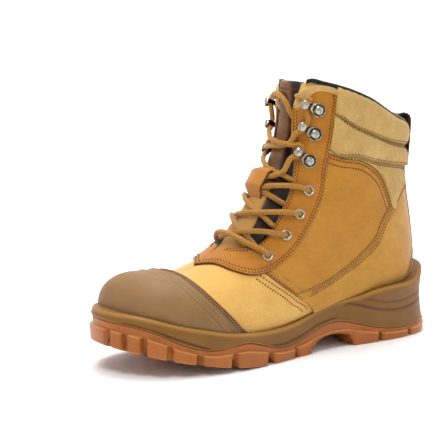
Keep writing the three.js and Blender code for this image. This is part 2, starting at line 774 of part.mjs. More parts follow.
function makeOutsole() {
  const wallInset = lugStep + wallThickness;
  const base = loft([
    soleRing(2, ground),
    soleRing(0, (x) => ground(x) + 2.5),
    soleRing(0.3, (x) => lugTopAt(x) - 1),
    soleRing(lugStep, (x) => lugTopAt(x) + 0.6),
    soleRing(lugStep, (x) => ground(x) + partingAt(x)),
    soleRing(wallInset - 2, (x) => ground(x) + partingAt(x)),
    soleRing(wallInset, webAt),
  ], "ladder");
  const treadSpace = loft([
    soleRing(-beyond, () => -beyond),
    soleRing(-beyond, (x) => ground(x) + lugDepth),
    soleRing(0, (x) => ground(x) + lugDepth),
  ], "ladder");
  const notches = notchRing();
  const lugs = [];
  const reach = 0.32 * soleHalfWidth;
  const edgeY = (x, side) => {
    let best = 0;
    for (const [px, py] of soleLine) {
      if (Math.sign(py) === side && Math.abs(px - x) < 0.02 * outsoleLength) best = Math.max(best, Math.abs(py));
    }
    return side * best;
  };
  const top = outsoleWall + toeSpring;
  for (const side of [1, -1]) {
    for (const { from, to } of SIDE_LUGS) {
      const x0 = from * outsoleLength;
      const x1 = to * outsoleLength;
      const skew = 0.25 * (x1 - x0);
      const edge = edgeY((x0 + x1) / 2, side);
      const inner = edge - side * reach;
      const outer = side * (soleHalfWidth + beyond);
      lugs.push(lugPrism([[x0, outer], [x1, outer], [x1 + skew, inner], [x0 + skew, inner]], top));
    }
  }
  const toeX = 0.868 * outsoleLength;
  for (const { from, to } of TOE_LUGS) {
    const y0 = from * soleHalfWidth;
    const y1 = to * soleHalfWidth;
    const inner = 0.8 * outsoleLength;
    lugs.push(lugPrism([
      [toeX + beyond, y0 * 1.35],
      [toeX + beyond, y1 * 1.35],
      [inner, y1 * 0.75],
      [inner, y0 * 0.75],
    ], top));
  }
  const heelX = -0.132 * outsoleLength;
  for (const { from, to } of HEEL_LUGS) {
    const y0 = from * soleHalfWidth;
    const y1 = to * soleHalfWidth;
    const inner = -0.07 * outsoleLength;
    lugs.push(lugPrism([
      [heelX - beyond, y0 * 1.4],
      [heelX - beyond, y1 * 1.4],
      [inner, y1 * 0.9],
      [inner, y0 * 0.9],
    ], top));
  }
  for (const { from, to, near, far } of CENTRE_LUGS) {
    const x0 = from * outsoleLength;
    const x1 = to * outsoleLength;
    lugs.push(lugPrism([
      [x0, near * soleHalfWidth],
      [x1, near * soleHalfWidth],
      [x1, far * soleHalfWidth],
      [x0, far * soleHalfWidth],
    ], top));
  }
  const blocks = wasm.Manifold.union(lugs);
  const hollow = sidePrism(ARCH.map(({ x, up }) => [x * outsoleLength, up * archHeight]), -wide, wide);
  return base.subtract(treadSpace.add(notches).subtract(blocks)).subtract(hollow);
}

// The band around the sole that the notches between side lugs may take
function notchRing() {
  const outer = soleRing(-beyond, () => -beyond);
  const count = outer.length;
  const rings = [
    outer,
    soleRing(-beyond, (x) => lugTopAt(x) - 1.2),
    soleRing(notchDepth, (x) => lugTopAt(x) - 1.2),
    soleRing(notchDepth, () => -beyond),
  ];
  const vertices = rings.flat();
  const triangles = [];
  for (let i = 0; i < rings.length; i += 1) {
    for (let j = 0; j < count; j += 1) {
      const next = (i + 1) % rings.length;
      const a = i * count + j;
      const b = i * count + ((j + 1) % count);
      const c = next * count + ((j + 1) % count);
      const d = next * count + j;
      triangles.push([a, b, c], [a, c, d]);
    }
  }
  return solidOf(vertices, triangles);
}

// Side grooves of the midsole: how deep at this place of the sole's length
function grooveAt(x) {
  const place = x / outsoleLength;
  const forefoot = smooth((place - 0.6) / 0.03) * smooth((0.8 - place) / 0.03);
  const waist = smooth((place - 0.26) / 0.03) * smooth((0.475 - place) / 0.03);
  return 1.3 * Math.max(forefoot, waist);
}

function makeMidsole(cup) {
  const wallInset = lugStep + wallThickness + 3 * fit;
  const bottom = (x) => ground(x) + partingAt(x) + fit;
  const rim = (x) => spring(x) + rimAt(x);
  const between = (share) => (x) => bottom(x) + share * (rim(x) - bottom(x));
  const hollow = (x) => 2.2 * smooth((0.14 - x / outsoleLength) / 0.12);
  const lean = (base, give) => soleLine.map(([x, y], i) => {
    const inset = base + give(x);
    return [x - soleNormals[i][0] * inset, y - soleNormals[i][1] * inset];
  });
  const shaped = (base, give, height) => lean(base, give).map(([x, y]) => [x, y, height(x)]);
  const none = () => 0;
  const block = loft([
    soleRing(wallInset, (x) => webAt(x) + fit),
    soleRing(wallInset - 2, bottom),
    shaped(2.4, none, bottom),
    shaped(1.9, none, (x) => bottom(x) + 2),
    shaped(1.8, grooveAt, (x) => bottom(x) + 2.7),
    shaped(1.6, none, (x) => bottom(x) + 3.4),
    shaped(1.4, (x) => 0.9 * hollow(x), between(0.42)),
    shaped(1.8, (x) => 1.1 * hollow(x), (x) => rim(x) - 3.6),
    shaped(3.2, (x) => 0.9 * hollow(x), (x) => rim(x) - 1),
    shaped(5, (x) => 0.9 * hollow(x), rim),
    shaped(20, none, (x) => rim(x) - 1),
  ], "ladder");
  return block.subtract(cup);
}

// What lies under the rim, for trimming the overlays to it
function underRim() {
  return loft([
    soleRing(-1, () => -beyond),
    soleRing(-1, (x) => spring(x) + rimAt(x) + 2 * fit),
  ], "ladder");
}

// Space under the feather line, up by a height, where the upper is open
function underFeather(up) {
  const rows = BACK.filter(({ t }) => t <= 0.69);
  const points = rows.map(({ t }) => {
    const [x, , z] = form(t, Math.PI);
    return [x, z + up];
  });
  const [tipX, tipZ] = points[0];
  const [heelX, heelZ] = points[points.length - 1];
  return sidePrism([
    [tipX + beyond, tipZ],
    ...points,
    [heelX - beyond, heelZ],
    [heelX - beyond, -beyond],
    [tipX + beyond, -beyond],
  ], -wide, wide);
}

function makeInsole() {
  const board = body(-fit).intersect(underFeather(leather));
  const bed = body(-leather - 0.5, 0.05, liningSteps).intersect(underFeather(leather + insoleThickness));
  return board.add(bed);
}

// Tongue: it lies under both facings and swells into the throat
function tongueOff(t, share) {
  const under = -leather - 4 * fit - tongueThickness / 2;
  const proud = tongueLift - tongueThickness / 2;
  const gapShare = smooth((0.9 - share) / 0.4) * smooth((t - 0.435) / 0.04);
  return under + (proud - under) * gapShare;
}
const tongueTop = 0.972;
function makeTongue() {
  const rows = [];
  const steps = 15;
  for (let i = 0; i <= steps; i += 1) {
    const share = i / steps;
    const t = 0.4 + (tongueTop - 0.4) * share;
    const half = (0.52 - 0.1 * share - 0.14 * smooth((share - 0.93) / 0.07)) * ballWidth / 2;
    const row = [];
    for (let j = -4; j <= 4; j += 1) {
      const y = (half * j) / 4;
      const turn = turnAtY(t, y);
      row.push(skin(t, turn, tongueOff(t, Math.abs(y) / gapAt(t))));
    }
    rows.push(row);
  }
  return sheet(rows, tongueThickness);
}

// The turn at which the form is y to the side of its middle, near the front or near the back
function turnAtY(t, y, start = 0) {
  let low = 0;
  let high = Math.PI / 2;
  const side = start === 0 ? Math.sign(y) : -Math.sign(y);
  for (let i = 0; i < 30; i += 1) {
    const middle = (low + high) / 2;
    if (Math.abs(form(t, start + side * middle)[1] - form(t, start)[1]) < Math.abs(y)) low = middle;
    else high = middle;
  }
  return start + side * low;
}

// A turned place on the upper: x towards the throat, z outward
function placeOn(t, turn, off) {
  const normal = outward(t, turn);
  const point = skin(t, turn, off);
  const toFront = sub(form(t, turn - 0.02 * Math.sign(turn)), form(t, turn));
  const side = unit(cross(normal, toFront));
  const front = unit(cross(side, normal));
  const basis = new THREE.Matrix4().makeBasis(
    new THREE.Vector3(...front),
    new THREE.Vector3(...side),
    new THREE.Vector3(...normal),
  );
  const rotation = new THREE.Quaternion().setFromRotationMatrix(basis);
  return { point: new THREE.Vector3(...point), rotation };
}

// A flanged ring that grips the edge of its hole
function eyeletGeometry() {
  const inner = eyeletHole / 2;
  const outer = eyeletOuter / 2;
  const profile = [
    [inner, 0],
    [outer, 0],
    [outer - 1, eyeletHeight],
    [inner + 0.3, eyeletHeight],
    [inner, 0],
  ].map(([r, z]) => new THREE.Vector2(r, z));
  const geometry = new THREE.LatheGeometry(profile, roundSides);
  geometry.rotateX(Math.PI / 2);
  return geometry;
}

// A hook: foot plate, domed rivet, and a neck that bends back over the lace
function hookSolid() {
  const plate = [
    [-0.42 * hookLength, 0], [0.62 * hookLength, 0], [0.72 * hookLength, 0.3 * hookHeight],
    [0.72 * hookLength, 0.72 * hookHeight], [0.6 * hookLength, hookHeight], [0.4 * hookLength, hookHeight],
    [0.22 * hookLength, 0.82 * hookHeight], [0.24 * hookLength, 0.66 * hookHeight],
    [0.42 * hookLength, 0.82 * hookHeight], [0.56 * hookLength, 0.8 * hookHeight],
    [0.62 * hookLength, 0.62 * hookHeight], [0.62 * hookLength, 0.3 * hookHeight],
    [0.54 * hookLength, 0.16 * hookHeight], [-0.42 * hookLength, 0.16 * hookHeight],
  ];
  const neck = sidePrism(plate, -hookWidth / 2, hookWidth / 2);
  const radius = rivetDiameter / 2;
  const dome = new THREE.LatheGeometry([
    new THREE.Vector2(0, 0),
    new THREE.Vector2(radius, 0),
    new THREE.Vector2(0.75 * radius, 0.28 * rivetDiameter),
    new THREE.Vector2(0, 0.4 * rivetDiameter),
  ], roundSides);
  dome.rotateX(Math.PI / 2);
  dome.translate(-0.1 * hookLength, 0, 0);
  return neck.add(fromGeometry(dome));
}

// A round cord through points
function cord(points) {
  const curve = new THREE.CatmullRomCurve3(points.map((p) => new THREE.Vector3(...p)), false, "centripetal");
  const sides = roundSides;
  const round = new THREE.Shape();
  for (let i = 0; i < sides; i += 1) {
    const angle = (i / sides) * 2 * Math.PI;
    const x = (Math.cos(angle) * laceDiameter) / 2;
    const y = (Math.sin(angle) * laceDiameter) / 2;
    if (i === 0) round.moveTo(x, y);
    else round.lineTo(x, y);
  }
  const steps = Math.max(4, Math.round(curve.getLength() / (3 * laceDiameter)));
  return fromGeometry(new THREE.ExtrudeGeometry(round, { steps, extrudePath: curve }));
}

// Lace stretches over the throat. Each starts in the throat beside the facing it comes out
// from under, crosses the tongue and runs on the other facing to its eyelet or hook.
const laceOnFacing = eyestayThickness + 4 * fit + laceDiameter / 2;
const laceOnTongue = tongueLift + fit + laceDiameter / 2;
function across(low, high, side, lift) {
  const from = gapTurn(low.t, -side, 0.72);
  const over = (low.t + high.t) / 2;
  const edge = gapTurn(high.t - 0.012, side, 1.05);
  const end = side * radians(high.turn - (HOOKS.includes(high) ? 17 : 7.5));
  return cord([
    skin(low.t + 0.012, from, laceOnTongue + 0.6),
    skin(over - 0.012, -side * 0.12, laceOnTongue + lift),
    skin(over + 0.01, side * 0.14, laceOnTongue + lift),
    skin(high.t - 0.012, edge, laceOnFacing + 0.8),
    skin(high.t - 0.003, (edge + end) / 2, laceOnFacing + 0.3),
    skin(high.t, end, laceOnFacing),
  ]);
}
function gapTurn(t, side, share) {
  return turnAtY(t, side * gapAt(t) * share);
}
function crossing(low, high) {
  return across(low, high, 1, 0.8).add(across(low, high, -1, 2.6));
}
function firstBar() {
  const { t, turn } = EYELETS[0];
  const end = radians(turn - 7.5);
  const edge = gapTurn(t, 1, 1.05);
  return cord([
    skin(t, -end, laceOnFacing),
    skin(t, -edge, laceOnFacing + 0.8),
    skin(t - 0.006, 0, laceOnFacing + 1.6),
    skin(t, edge, laceOnFacing + 0.8),
    skin(t, end, laceOnFacing),
  ]);
}
function uprightRun(side) {
  const low = HOOKS[1];
  const high = HOOKS[2];
  const at = (row, dt, dturn) => skin(row.t + dt, side * radians(row.turn + dturn), laceOnFacing + 1.2);
  return cord([at(low, 0.0155, -14.5), at(low, 0.045, -13), at(high, -0.045, -14), at(high, -0.018, -14)]);
}

// A band of the tongue that the lace passes under
function makeKeeper() {
  const rows = [];
  const low = 0.575;
  const high = 0.645;
  const steps = 8;
  const rest = tongueLift + fit + strapThickness / 2 + 0.2;
  const over = laceOnTongue + 2.6 + laceDiameter / 2 + fit + strapThickness / 2 + 0.4;
  for (let i = 0; i <= steps; i += 1) {
    const share = i / steps;
    const t = low + (high - low) * share;
    const off = rest + (over - rest) * smooth(Math.sin(Math.PI * share) * 1.25);
    const row = [];
    for (let j = -1; j <= 1; j += 1) row.push(skin(t, turnAtY(t, (j * keeperWidth) / 2), off));
    rows.push(row);
  }
  return sheet(rows, strapThickness);
}

// Pull loop over the back of the collar
function makePullLoop() {
  const outer = padThickness + padCrown + fit + strapThickness / 2 + 0.3;
  const inner = -leather - 2 * fit - strapThickness / 2;
  const path = [
    { t: 0.925, off: backstayThickness + fit + strapThickness, rise: 0 },
    { t: 0.945, off: outer - 0.6, rise: 0 },
    { t: 0.97, off: outer, rise: 0 },
    { t: 0.99, off: outer, rise: 0.35 * loopRise },
    { t: 0.99, off: outer - 1.2, rise: 0.8 * loopRise },
    { t: 0.99, off: 0.5 * (outer + inner), rise: loopRise },
    { t: 0.99, off: inner + 1.2, rise: 0.8 * loopRise },
    { t: 0.99, off: inner, rise: 0.35 * loopRise },
    { t: 0.97, off: inner, rise: 0 },
    { t: 0.94, off: inner, rise: 0 },
  ];
  const rows = path.map(({ t, off, rise }) => {
    const row = [];
    for (let j = -2; j <= 2; j += 1) {
      const point = skin(t, turnAtY(t, (loopWidth / 4) * j, Math.PI), off);
      row.push([point[0], point[1], point[2] + rise]);
    }
    return row;
  });
  return sheet(rows, strapThickness);
}

// Materials
const material = (color, roughness, metalness = 0) => (
  new THREE.MeshStandardMaterial({ color, roughness, metalness })
);
const nubuck = material("#d09a3e", 0.85);
const darkNubuck = material("#b97d2a", 0.85);
const padLeather = material("#d8b876", 0.75);
const capRubber = material("#8d7355", 0.7);
const foamRubber = material("#8a6426", 0.6);
const gumRubber = material("#c06f2c", 0.45);
const brownLeather = material("#5a2e18", 0.55);
const laceCloth = material("#b8832f", 0.9);
const antiqueMetal = material("#7c7468", 0.35, 0.9);
const insoleCloth = material("#2a2724", 0.95);

const boot = new THREE.Group();
function keep(name, solid, finish) {
  const { vertProperties, triVerts } = solid.getMesh();
  const geometry = new THREE.BufferGeometry();
  geometry.setAttribute("position", new THREE.BufferAttribute(vertProperties.slice(), 3));
  geometry.setIndex(new THREE.BufferAttribute(triVerts.slice(), 1));
  geometry.computeVertexNormals();
  const mesh = new THREE.Mesh(geometry, finish);
  mesh.name = name;
  boot.add(mesh);
  return mesh;
}

// Both halves of a layer, cut apart along the middle of the boot
function keepHalves(name, solid, finish) {
  const box = (from, to) => sidePrism([
    corners.heelLow, corners.toeLow, [corners.toeLow[0], corners.heelHigh[1]], corners.heelHigh,
  ], from, to);
  keep(`${name}_outer`, largest(solid.intersect(box(fit, wide))), finish);
  keep(`${name}_inner`, largest(solid.intersect(box(-wide, -fit))), finish);
}

// The main piece of a cut, without crumbs
function largest(solid) {
  return solid.decompose().sort((a, b) => b.volume() - a.volume())[0];
}

const outerBody = body(0);
const clearBody = body(fit, 0.06);
const throat = throatCutter();
const rimSpace = underRim();
const eyeletBores = [];
for (const side of [1, -1]) {
  for (const { t, turn } of EYELETS) {
    const { point, rotation } = placeOn(t, side * radians(turn), 0);
    const bore = new THREE.CylinderGeometry(eyeletHole / 2 + 0.2, eyeletHole / 2 + 0.2, 16, 8);
    bore.rotateX(Math.PI / 2);
    bore.applyQuaternion(rotation);
    bore.translate(point.x, point.y, point.z);
    eyeletBores.push(fromGeometry(bore));
  }
}
const bores = wasm.Manifold.union(eyeletBores);

const hollowUpper = outerBody
  .subtract(body(-leather, 0.06, liningSteps))
  .subtract(underFeather(leather + fit))
  .subtract(throat)
  .subtract(bores);
keep("upper", largest(hollowUpper), nubuck);
keep("midsole", largest(makeMidsole(clearBody)), foamRubber);
keep("outsole", largest(makeOutsole()), gumRubber);
keep("insole", largest(makeInsole()), insoleCloth);

const layer = (thickness) => body(thickness).subtract(clearBody).subtract(rimSpace);
const cap = layer(fit + capThickness).intersect(prismOf("cap"));
keep("toe_cap", largest(cap), capRubber);
const eyestay = layer(fit + eyestayThickness).intersect(prismOf("eyestay")).subtract(throat).subtract(bores);
keep("eyestay", largest(eyestay), darkNubuck);
const backstayCut = prismOf("backstay", fit);
const backstay = layer(fit + backstayThickness).intersect(prismOf("backstay"));
keep("backstay", largest(backstay), nubuck);
const counter = layer(fit + counterThickness).intersect(prismOf("counter")).subtract(backstayCut);
keepHalves("counter", counter, nubuck);
const quarter = layer(fit + quarterThickness)
  .intersect(prismOf("quarter"))
  .subtract(prismOf("eyestay", fit))
  .subtract(prismOf("counter", fit));
keepHalves("quarter", quarter, darkNubuck);
const pads = layer(padProfile)
  .intersect(prismOf("collar"))
  .subtract(prismOf("eyestay", fit))
  .subtract(prismOf("counter", fit))
  .subtract(prismOf("quarter", fit))
  .subtract(backstayCut)
  .subtract(throat);
keepHalves("collar_pad", pads, padLeather);

keep("tongue", makeTongue(), brownLeather);
keep("lace_keeper", makeKeeper(), darkNubuck);
keep("pull_loop", makePullLoop(), brownLeather);

const sides = [{ name: "outer", sign: 1 }, { name: "inner", sign: -1 }];
const fittingOff = fit + eyestayThickness + fit;
for (const { name, sign } of sides) {
  EYELETS.forEach(({ t, turn }, i) => {
    const mesh = keep(`eyelet_${name}_${i + 1}`, fromGeometry(eyeletGeometry()), antiqueMetal);
    const { point, rotation } = placeOn(t, sign * radians(turn), fittingOff + 0.2);
    mesh.position.copy(point);
    mesh.quaternion.copy(rotation);
  });
  HOOKS.forEach(({ t, turn }, i) => {
    const mesh = keep(`hook_${name}_${i + 1}`, hookSolid(), antiqueMetal);
    const { point, rotation } = placeOn(t, sign * radians(turn), fittingOff + 0.2);
    mesh.position.copy(point);
    mesh.quaternion.copy(rotation);
  });
}

const stations = [...EYELETS, ...HOOKS];
keep("lace_bar_1", firstBar(), laceCloth);
for (let i = 0; i + 2 < stations.length; i += 1) {
  keep(`lace_crossing_${i + 1}`, crossing(stations[i], stations[i + 1]), laceCloth);
}
for (const { name, sign } of sides) keep(`lace_run_${name}`, uprightRun(sign), laceCloth);

export default boot;
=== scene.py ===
"""Dresses a laced safety work boot for the left foot: leathers, stitching, lacing and sole.

Sizes are in millimetres and turned into metres when a mesh is made. +X runs to the toe, +Y to the
outer side of the foot and +Z up; the origin lies on the floor under the middle of the heel.
"""

import logging
import math
from dataclasses import dataclass, field
from enum import Enum
from typing import Callable, Sequence

import bpy
import numpy as np
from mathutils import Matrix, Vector

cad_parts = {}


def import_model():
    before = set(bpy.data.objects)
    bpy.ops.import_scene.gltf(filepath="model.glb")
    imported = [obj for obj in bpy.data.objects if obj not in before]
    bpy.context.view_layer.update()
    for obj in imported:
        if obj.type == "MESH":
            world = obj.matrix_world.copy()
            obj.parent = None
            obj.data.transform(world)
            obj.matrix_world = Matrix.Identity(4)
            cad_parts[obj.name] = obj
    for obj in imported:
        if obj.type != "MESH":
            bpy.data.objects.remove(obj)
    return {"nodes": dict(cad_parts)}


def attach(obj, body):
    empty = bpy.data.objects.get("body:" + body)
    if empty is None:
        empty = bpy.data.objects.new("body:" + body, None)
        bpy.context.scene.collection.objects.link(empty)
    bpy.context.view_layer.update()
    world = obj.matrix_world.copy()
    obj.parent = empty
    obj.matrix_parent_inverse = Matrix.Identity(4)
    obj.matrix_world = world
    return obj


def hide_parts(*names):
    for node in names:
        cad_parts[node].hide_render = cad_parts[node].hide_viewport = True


LOG = logging.getLogger("boot")
MILLIMETRE = 0.001
BODY = "root"
# Length on the shaft that a step of one section place spans, roughly
PLACE_LENGTH = 230.0

Array = np.ndarray
Line = Sequence[tuple[float, float]]


class Side(Enum):
    """The two sides of the boot, with the sign of their Y."""

    OUTER = 1
    INNER = -1

    @property
    def tag(self) -> str:
        """Name of the side in the names of pieces."""
        return self.name.lower()


@dataclass(frozen=True)
class Sizes:
    """Driving dimensions of the boot in millimetres."""

    upper_length: float = 298
    ball_width: float = 100
    shaft_width: float = 75
    toe_height: float = 72
    collar_height: float = 226
    back_height: float = 186
    seat_height: float = 30
    toe_spring: float = 23.5
    toe_margin: float = 12
    heel_margin: float = 8
    side_margin: float = 10
    outsole_wall: float = 22.5
    rim_height: float = 47
    lug_depth: float = 5.5
    notch_depth: float = 5
    arch_height: float = 12
    lug_step: float = 2.5
    heel_bevel: float = 4
    leather: float = 2.5
    gap: float = 0.3
    lace: float = 4.4

    @property
    def outsole_length(self) -> float:
        """Length of the sole."""
        return self.upper_length + self.toe_margin + self.heel_margin

    @property
    def sole_half_width(self) -> float:
        """Half width of the sole at the ball."""
        return self.ball_width / 2 + self.side_margin


# The upper's front edge: section place, share of the length, share of the toe's and the collar's rise
FRONT = [
    (0.0, 0.874, 0.263, 0), (0.03, 0.8775, 0.36, 0), (0.07, 0.8745, 0.5, 0),
    (0.12, 0.86, 0.66, 0), (0.17, 0.826, 0.785, 0), (0.24, 0.757, 0.865, 0),
    (0.32, 0.667, 0.95, 0), (0.4, 0.567, 1, 0.0835), (0.48, 0.49, 1, 0.221),
    (0.56, 0.4295, 1, 0.3765), (0.63, 0.389, 1, 0.5065), (0.69, 0.366, 1, 0.604),
    (0.75, 0.352, 1, 0.675), (0.81, 0.342, 1, 0.753), (0.87, 0.3355, 1, 0.831),
    (0.94, 0.332, 1, 0.922), (1.0, 0.329, 1, 1), (1.08, 0.326, 1, 1.1),
]
# The bottom and back edge: place, share of the length, share of the seat's and the back's rise
BACK = [
    (0.0, 0.8725, 0.587, 0), (0.03, 0.859, 0.54, 0), (0.07, 0.8355, 0.5, 0),
    (0.12, 0.795, 0.467, 0), (0.17, 0.7415, 0.47, 0), (0.24, 0.668, 0.493, 0),
    (0.32, 0.574, 0.54, 0), (0.4, 0.463, 0.6, 0), (0.48, 0.3355, 0.733, 0),
    (0.56, 0.1945, 0.9, 0), (0.63, 0.0335, 1, 0), (0.69, -0.094, 1, 0.026),
    (0.75, -0.111, 1, 0.192), (0.81, -0.104, 1, 0.385), (0.87, -0.084, 1, 0.59),
    (0.94, -0.0705, 1, 0.808), (1.0, -0.074, 1, 1), (1.08, -0.078, 1, 1.15),
]
# Sections between them: place, width shares of ball and shaft, swing, belly, front and back power
GIRTH = [
    (0.0, 0.08, 0, -0.16, 0.6, 2.0, 3.0), (0.03, 0.36, 0, -0.14, 0.65, 2.1, 3.0),
    (0.07, 0.58, 0, -0.12, 0.68, 2.3, 3.2), (0.12, 0.75, 0, -0.08, 0.7, 2.4, 3.5),
    (0.17, 0.88, 0, -0.02, 0.72, 2.4, 3.5), (0.24, 0.98, 0, 0.02, 0.74, 2.3, 3.5),
    (0.32, 1.0, 0, 0.02, 0.74, 2.2, 3.5), (0.4, 0.94, 0, 0.02, 0.72, 2.1, 3.2),
    (0.48, 0.52, 0.453, 0, 0.7, 2.0, 3.0), (0.56, 0.2, 0.8, 0, 0.66, 2.0, 2.8),
    (0.63, 0, 1.0, 0, 0.6, 2.0, 2.4), (0.69, 0, 0.947, 0, 0.52, 2.0, 2.0),
    (0.75, 0, 0.933, 0, 0.46, 2.0, 1.9), (0.81, 0, 0.933, 0, 0.43, 2.0, 1.8),
    (0.87, 0, 0.947, 0, 0.42, 2.1, 1.8), (0.94, 0, 0.973, 0, 0.42, 2.2, 1.9),
    (1.0, 0, 1.0, 0, 0.42, 2.2, 1.9), (1.08, 0, 1.02, 0, 0.42, 2.2, 1.9),
]
# The collar's top edge: turn in degrees (0 at the front, 180 at the back), section place
TOPLINE = [
    (0, 0.955), (15, 0.96), (25, 0.976), (33, 0.995), (50, 1.0), (80, 1.002),
    (97, 0.998), (112, 0.989), (125, 0.985), (140, 0.987), (180, 0.99),
]
# The throat: section place, half width as a share of half the ball width
THROAT = [
    (0.415, 0.06), (0.425, 0.3), (0.44, 0.43), (0.475, 0.51), (0.51, 0.5), (0.555, 0.46),
    (0.6, 0.42), (0.66, 0.34), (0.72, 0.27), (0.79, 0.2), (0.87, 0.2), (0.95, 0.27), (1.08, 0.4),
]
# Panel edges: section place, turn in degrees
CAP_EDGE = [
    (0.283, 0), (0.285, 17), (0.288, 37), (0.295, 55), (0.307, 70), (0.318, 83),
    (0.328, 97), (0.336, 120), (0.34, 180),
]
EYESTAY_EDGE = [
    (0.343, 0), (0.365, 16), (0.38, 36), (0.403, 49), (0.435, 56), (0.475, 59.5), (0.525, 60.5),
    (0.578, 58), (0.635, 55.5), (0.703, 53.5), (0.787, 58), (0.868, 62), (0.965, 64.5), (0.986, 64),
]
EYESTAY_TOP = [(0.986, 64), (0.99, 52), (0.986, 42), (0.97, 35), (0.94, 32)]
EYESTAY_THROAT = [(0.9, 21), (0.92, 27.5), (0.94, 32)]
FRONT_ROLL_EDGE = [
    (0.865, 15), (0.9, 17), (0.93, 20.5), (0.95, 24), (0.966, 29), (0.981, 36), (0.992, 45),
    (1.0, 56), (1.003, 70),
]
FRONT_ROLL_SEAM = [
    (0.865, 22), (0.895, 27), (0.92, 33), (0.94, 37), (0.955, 40), (0.968, 45), (0.975, 52),
    (0.976, 60), (0.972, 70),
]
VAMP_SEAM = [(0.43, 53), (0.45, 70), (0.47, 84)]
COUNTER_EDGE = [
    (0.472, 84), (0.525, 88.5), (0.57, 91), (0.605, 91), (0.655, 92.5), (0.705, 97),
    (0.76, 107), (0.797, 115.5), (0.835, 126), (0.875, 146), (0.885, 180),
]
COUNTER_FOOT = [
    (0.472, 84), (0.485, 100), (0.492, 117), (0.5, 138), (0.56, 155), (0.64, 168), (0.7, 178),
    (0.8, 180), (0.885, 180),
]
QUARTER_EDGE = [
    (0.787, 55), (0.815, 72), (0.84, 88), (0.849, 98), (0.845, 108), (0.825, 113.5), (0.797, 117),
]
BACKSTAY_EDGE = [
    (0.97, 156), (0.9, 154), (0.84, 155), (0.78, 159), (0.75, 152), (0.725, 142), (0.695, 136),
    (0.67, 137),
]
# Seams that crease the collar pads: turn, upper seam, lower seam
PAD_SEAMS = [
    (40, 0.915, 0.83), (64, 0.917, 0.8), (80, 0.911, 0.83), (100, 0.92, 0.857),
    (116, 0.929, 0.878), (140, 0.944, 0.902), (180, 0.952, 0.912),
]
# The sole from above, a closed line: shares of its length and of its half width
OUTLINE = [
    (-0.132, 0.033), (-0.1195, 0.317), (-0.0755, 0.55), (0, 0.683), (0.094, 0.717), (0.189, 0.7),
    (0.283, 0.717), (0.377, 0.817), (0.472, 0.933), (0.566, 1), (0.645, 0.983), (0.723, 0.883),
    (0.786, 0.717), (0.8365, 0.45), (0.865, 0.133), (0.868, -0.133), (0.855, -0.4),
    (0.824, -0.62), (0.77, -0.79), (0.692, -0.91), (0.5975, -0.955), (0.503, -0.92),
    (0.377, -0.8), (0.2515, -0.717), (0.126, -0.7), (0, -0.69), (-0.0755, -0.55),
    (-0.1195, -0.283),
]
# Line between outsole and midsole: share of the length, share of the outsole's wall
PARTING = [
    (-0.132, 0.49), (-0.1, 0.467), (-0.05, 0.436), (-0.006, 0.4), (0.0535, 0.436),
    (0.107, 0.573), (0.157, 0.76), (0.2075, 0.964), (0.239, 1), (0.277, 0.942), (0.311, 0.813),
    (0.368, 0.573), (0.428, 0.507), (0.462, 0.587), (0.509, 0.764), (0.547, 0.853),
    (0.594, 0.755), (0.623, 0.64), (0.648, 0.56), (0.673, 0.538), (0.733, 0.636),
    (0.792, 0.853), (0.827, 0.88), (0.868, 0.83),
]
# Top of the midsole's rim: share of the length, share of the rim's height
RIM = [
    (-0.132, 1.3), (-0.107, 1.23), (-0.079, 1.12), (-0.05, 1.04), (-0.022, 1.01), (0.038, 1),
    (0.11, 0.955), (0.157, 0.895), (0.2075, 0.862), (0.261, 0.819), (0.292, 0.766),
    (0.33, 0.691), (0.4057, 0.596), (0.481, 0.585), (0.547, 0.581), (0.607, 0.579),
    (0.66, 0.594), (0.7075, 0.6), (0.7515, 0.606), (0.792, 0.62), (0.827, 0.61), (0.868, 0.56),
]
# The hollow under the arch: share of the length, share of its height
ARCH = [
    (0.179, 0), (0.185, 0.5), (0.2075, 0.9), (0.239, 1.02), (0.277, 0.94), (0.311, 0.54), (0.329, 0),
]
# Moulded lines in the midsole's side: share of the length and height of each point, then the depth
MIDSOLE_LINES = [
    ([(0.615, 9.5), (0.66, 13), (0.73, 17), (0.8, 20.5), (0.83, 21)], 1.1),
    ([(0.25, 26), (0.3, 23), (0.36, 17.5), (0.42, 14.5), (0.47, 15)], 1.0),
    ([(-0.125, 33), (-0.07, 29), (0.0, 25.5), (0.08, 27), (0.15, 33), (0.2, 37)], 1.2),
    ([(-0.125, 41), (-0.07, 36.5), (0.0, 33), (0.07, 33.5), (0.13, 38)], 0.9),
]
# Side lugs: stretches of the sole's length. End lugs: shares of its half width
SIDE_LUGS = [
    (-0.105, -0.025), (-0.012, 0.083), (0.097, 0.186), (0.327, 0.377), (0.39, 0.464),
    (0.4875, 0.583), (0.601, 0.679), (0.695, 0.75), (0.762, 0.805),
]
TOE_LUGS = [(0.44, 0.62), (0.2, 0.37), (-0.4, 0.12), (-0.62, -0.47)]
HEEL_LUGS = [(-0.3, -0.04), (0.04, 0.33)]
# Blocks in the middle of the tread: from and to along, near and far across
CENTRE_LUGS = [
    (-0.045, 0.055, -0.24, 0.25), (0.075, 0.165, -0.24, 0.25), (0.345, 0.42, -0.36, 0.36),
    (0.445, 0.52, -0.48, -0.05), (0.445, 0.52, 0.05, 0.5), (0.545, 0.625, -0.5, -0.05),
    (0.545, 0.625, 0.05, 0.54), (0.65, 0.715, -0.45, 0.42),
]
# Eyelets and hooks from the bottom of the throat up: section place, turn
EYELETS = [(0.463, 47.5), (0.527, 48.5), (0.583, 47.5), (0.642, 44.5)]
HOOKS = [(0.72, 39.5), (0.82, 43), (0.905, 46)]
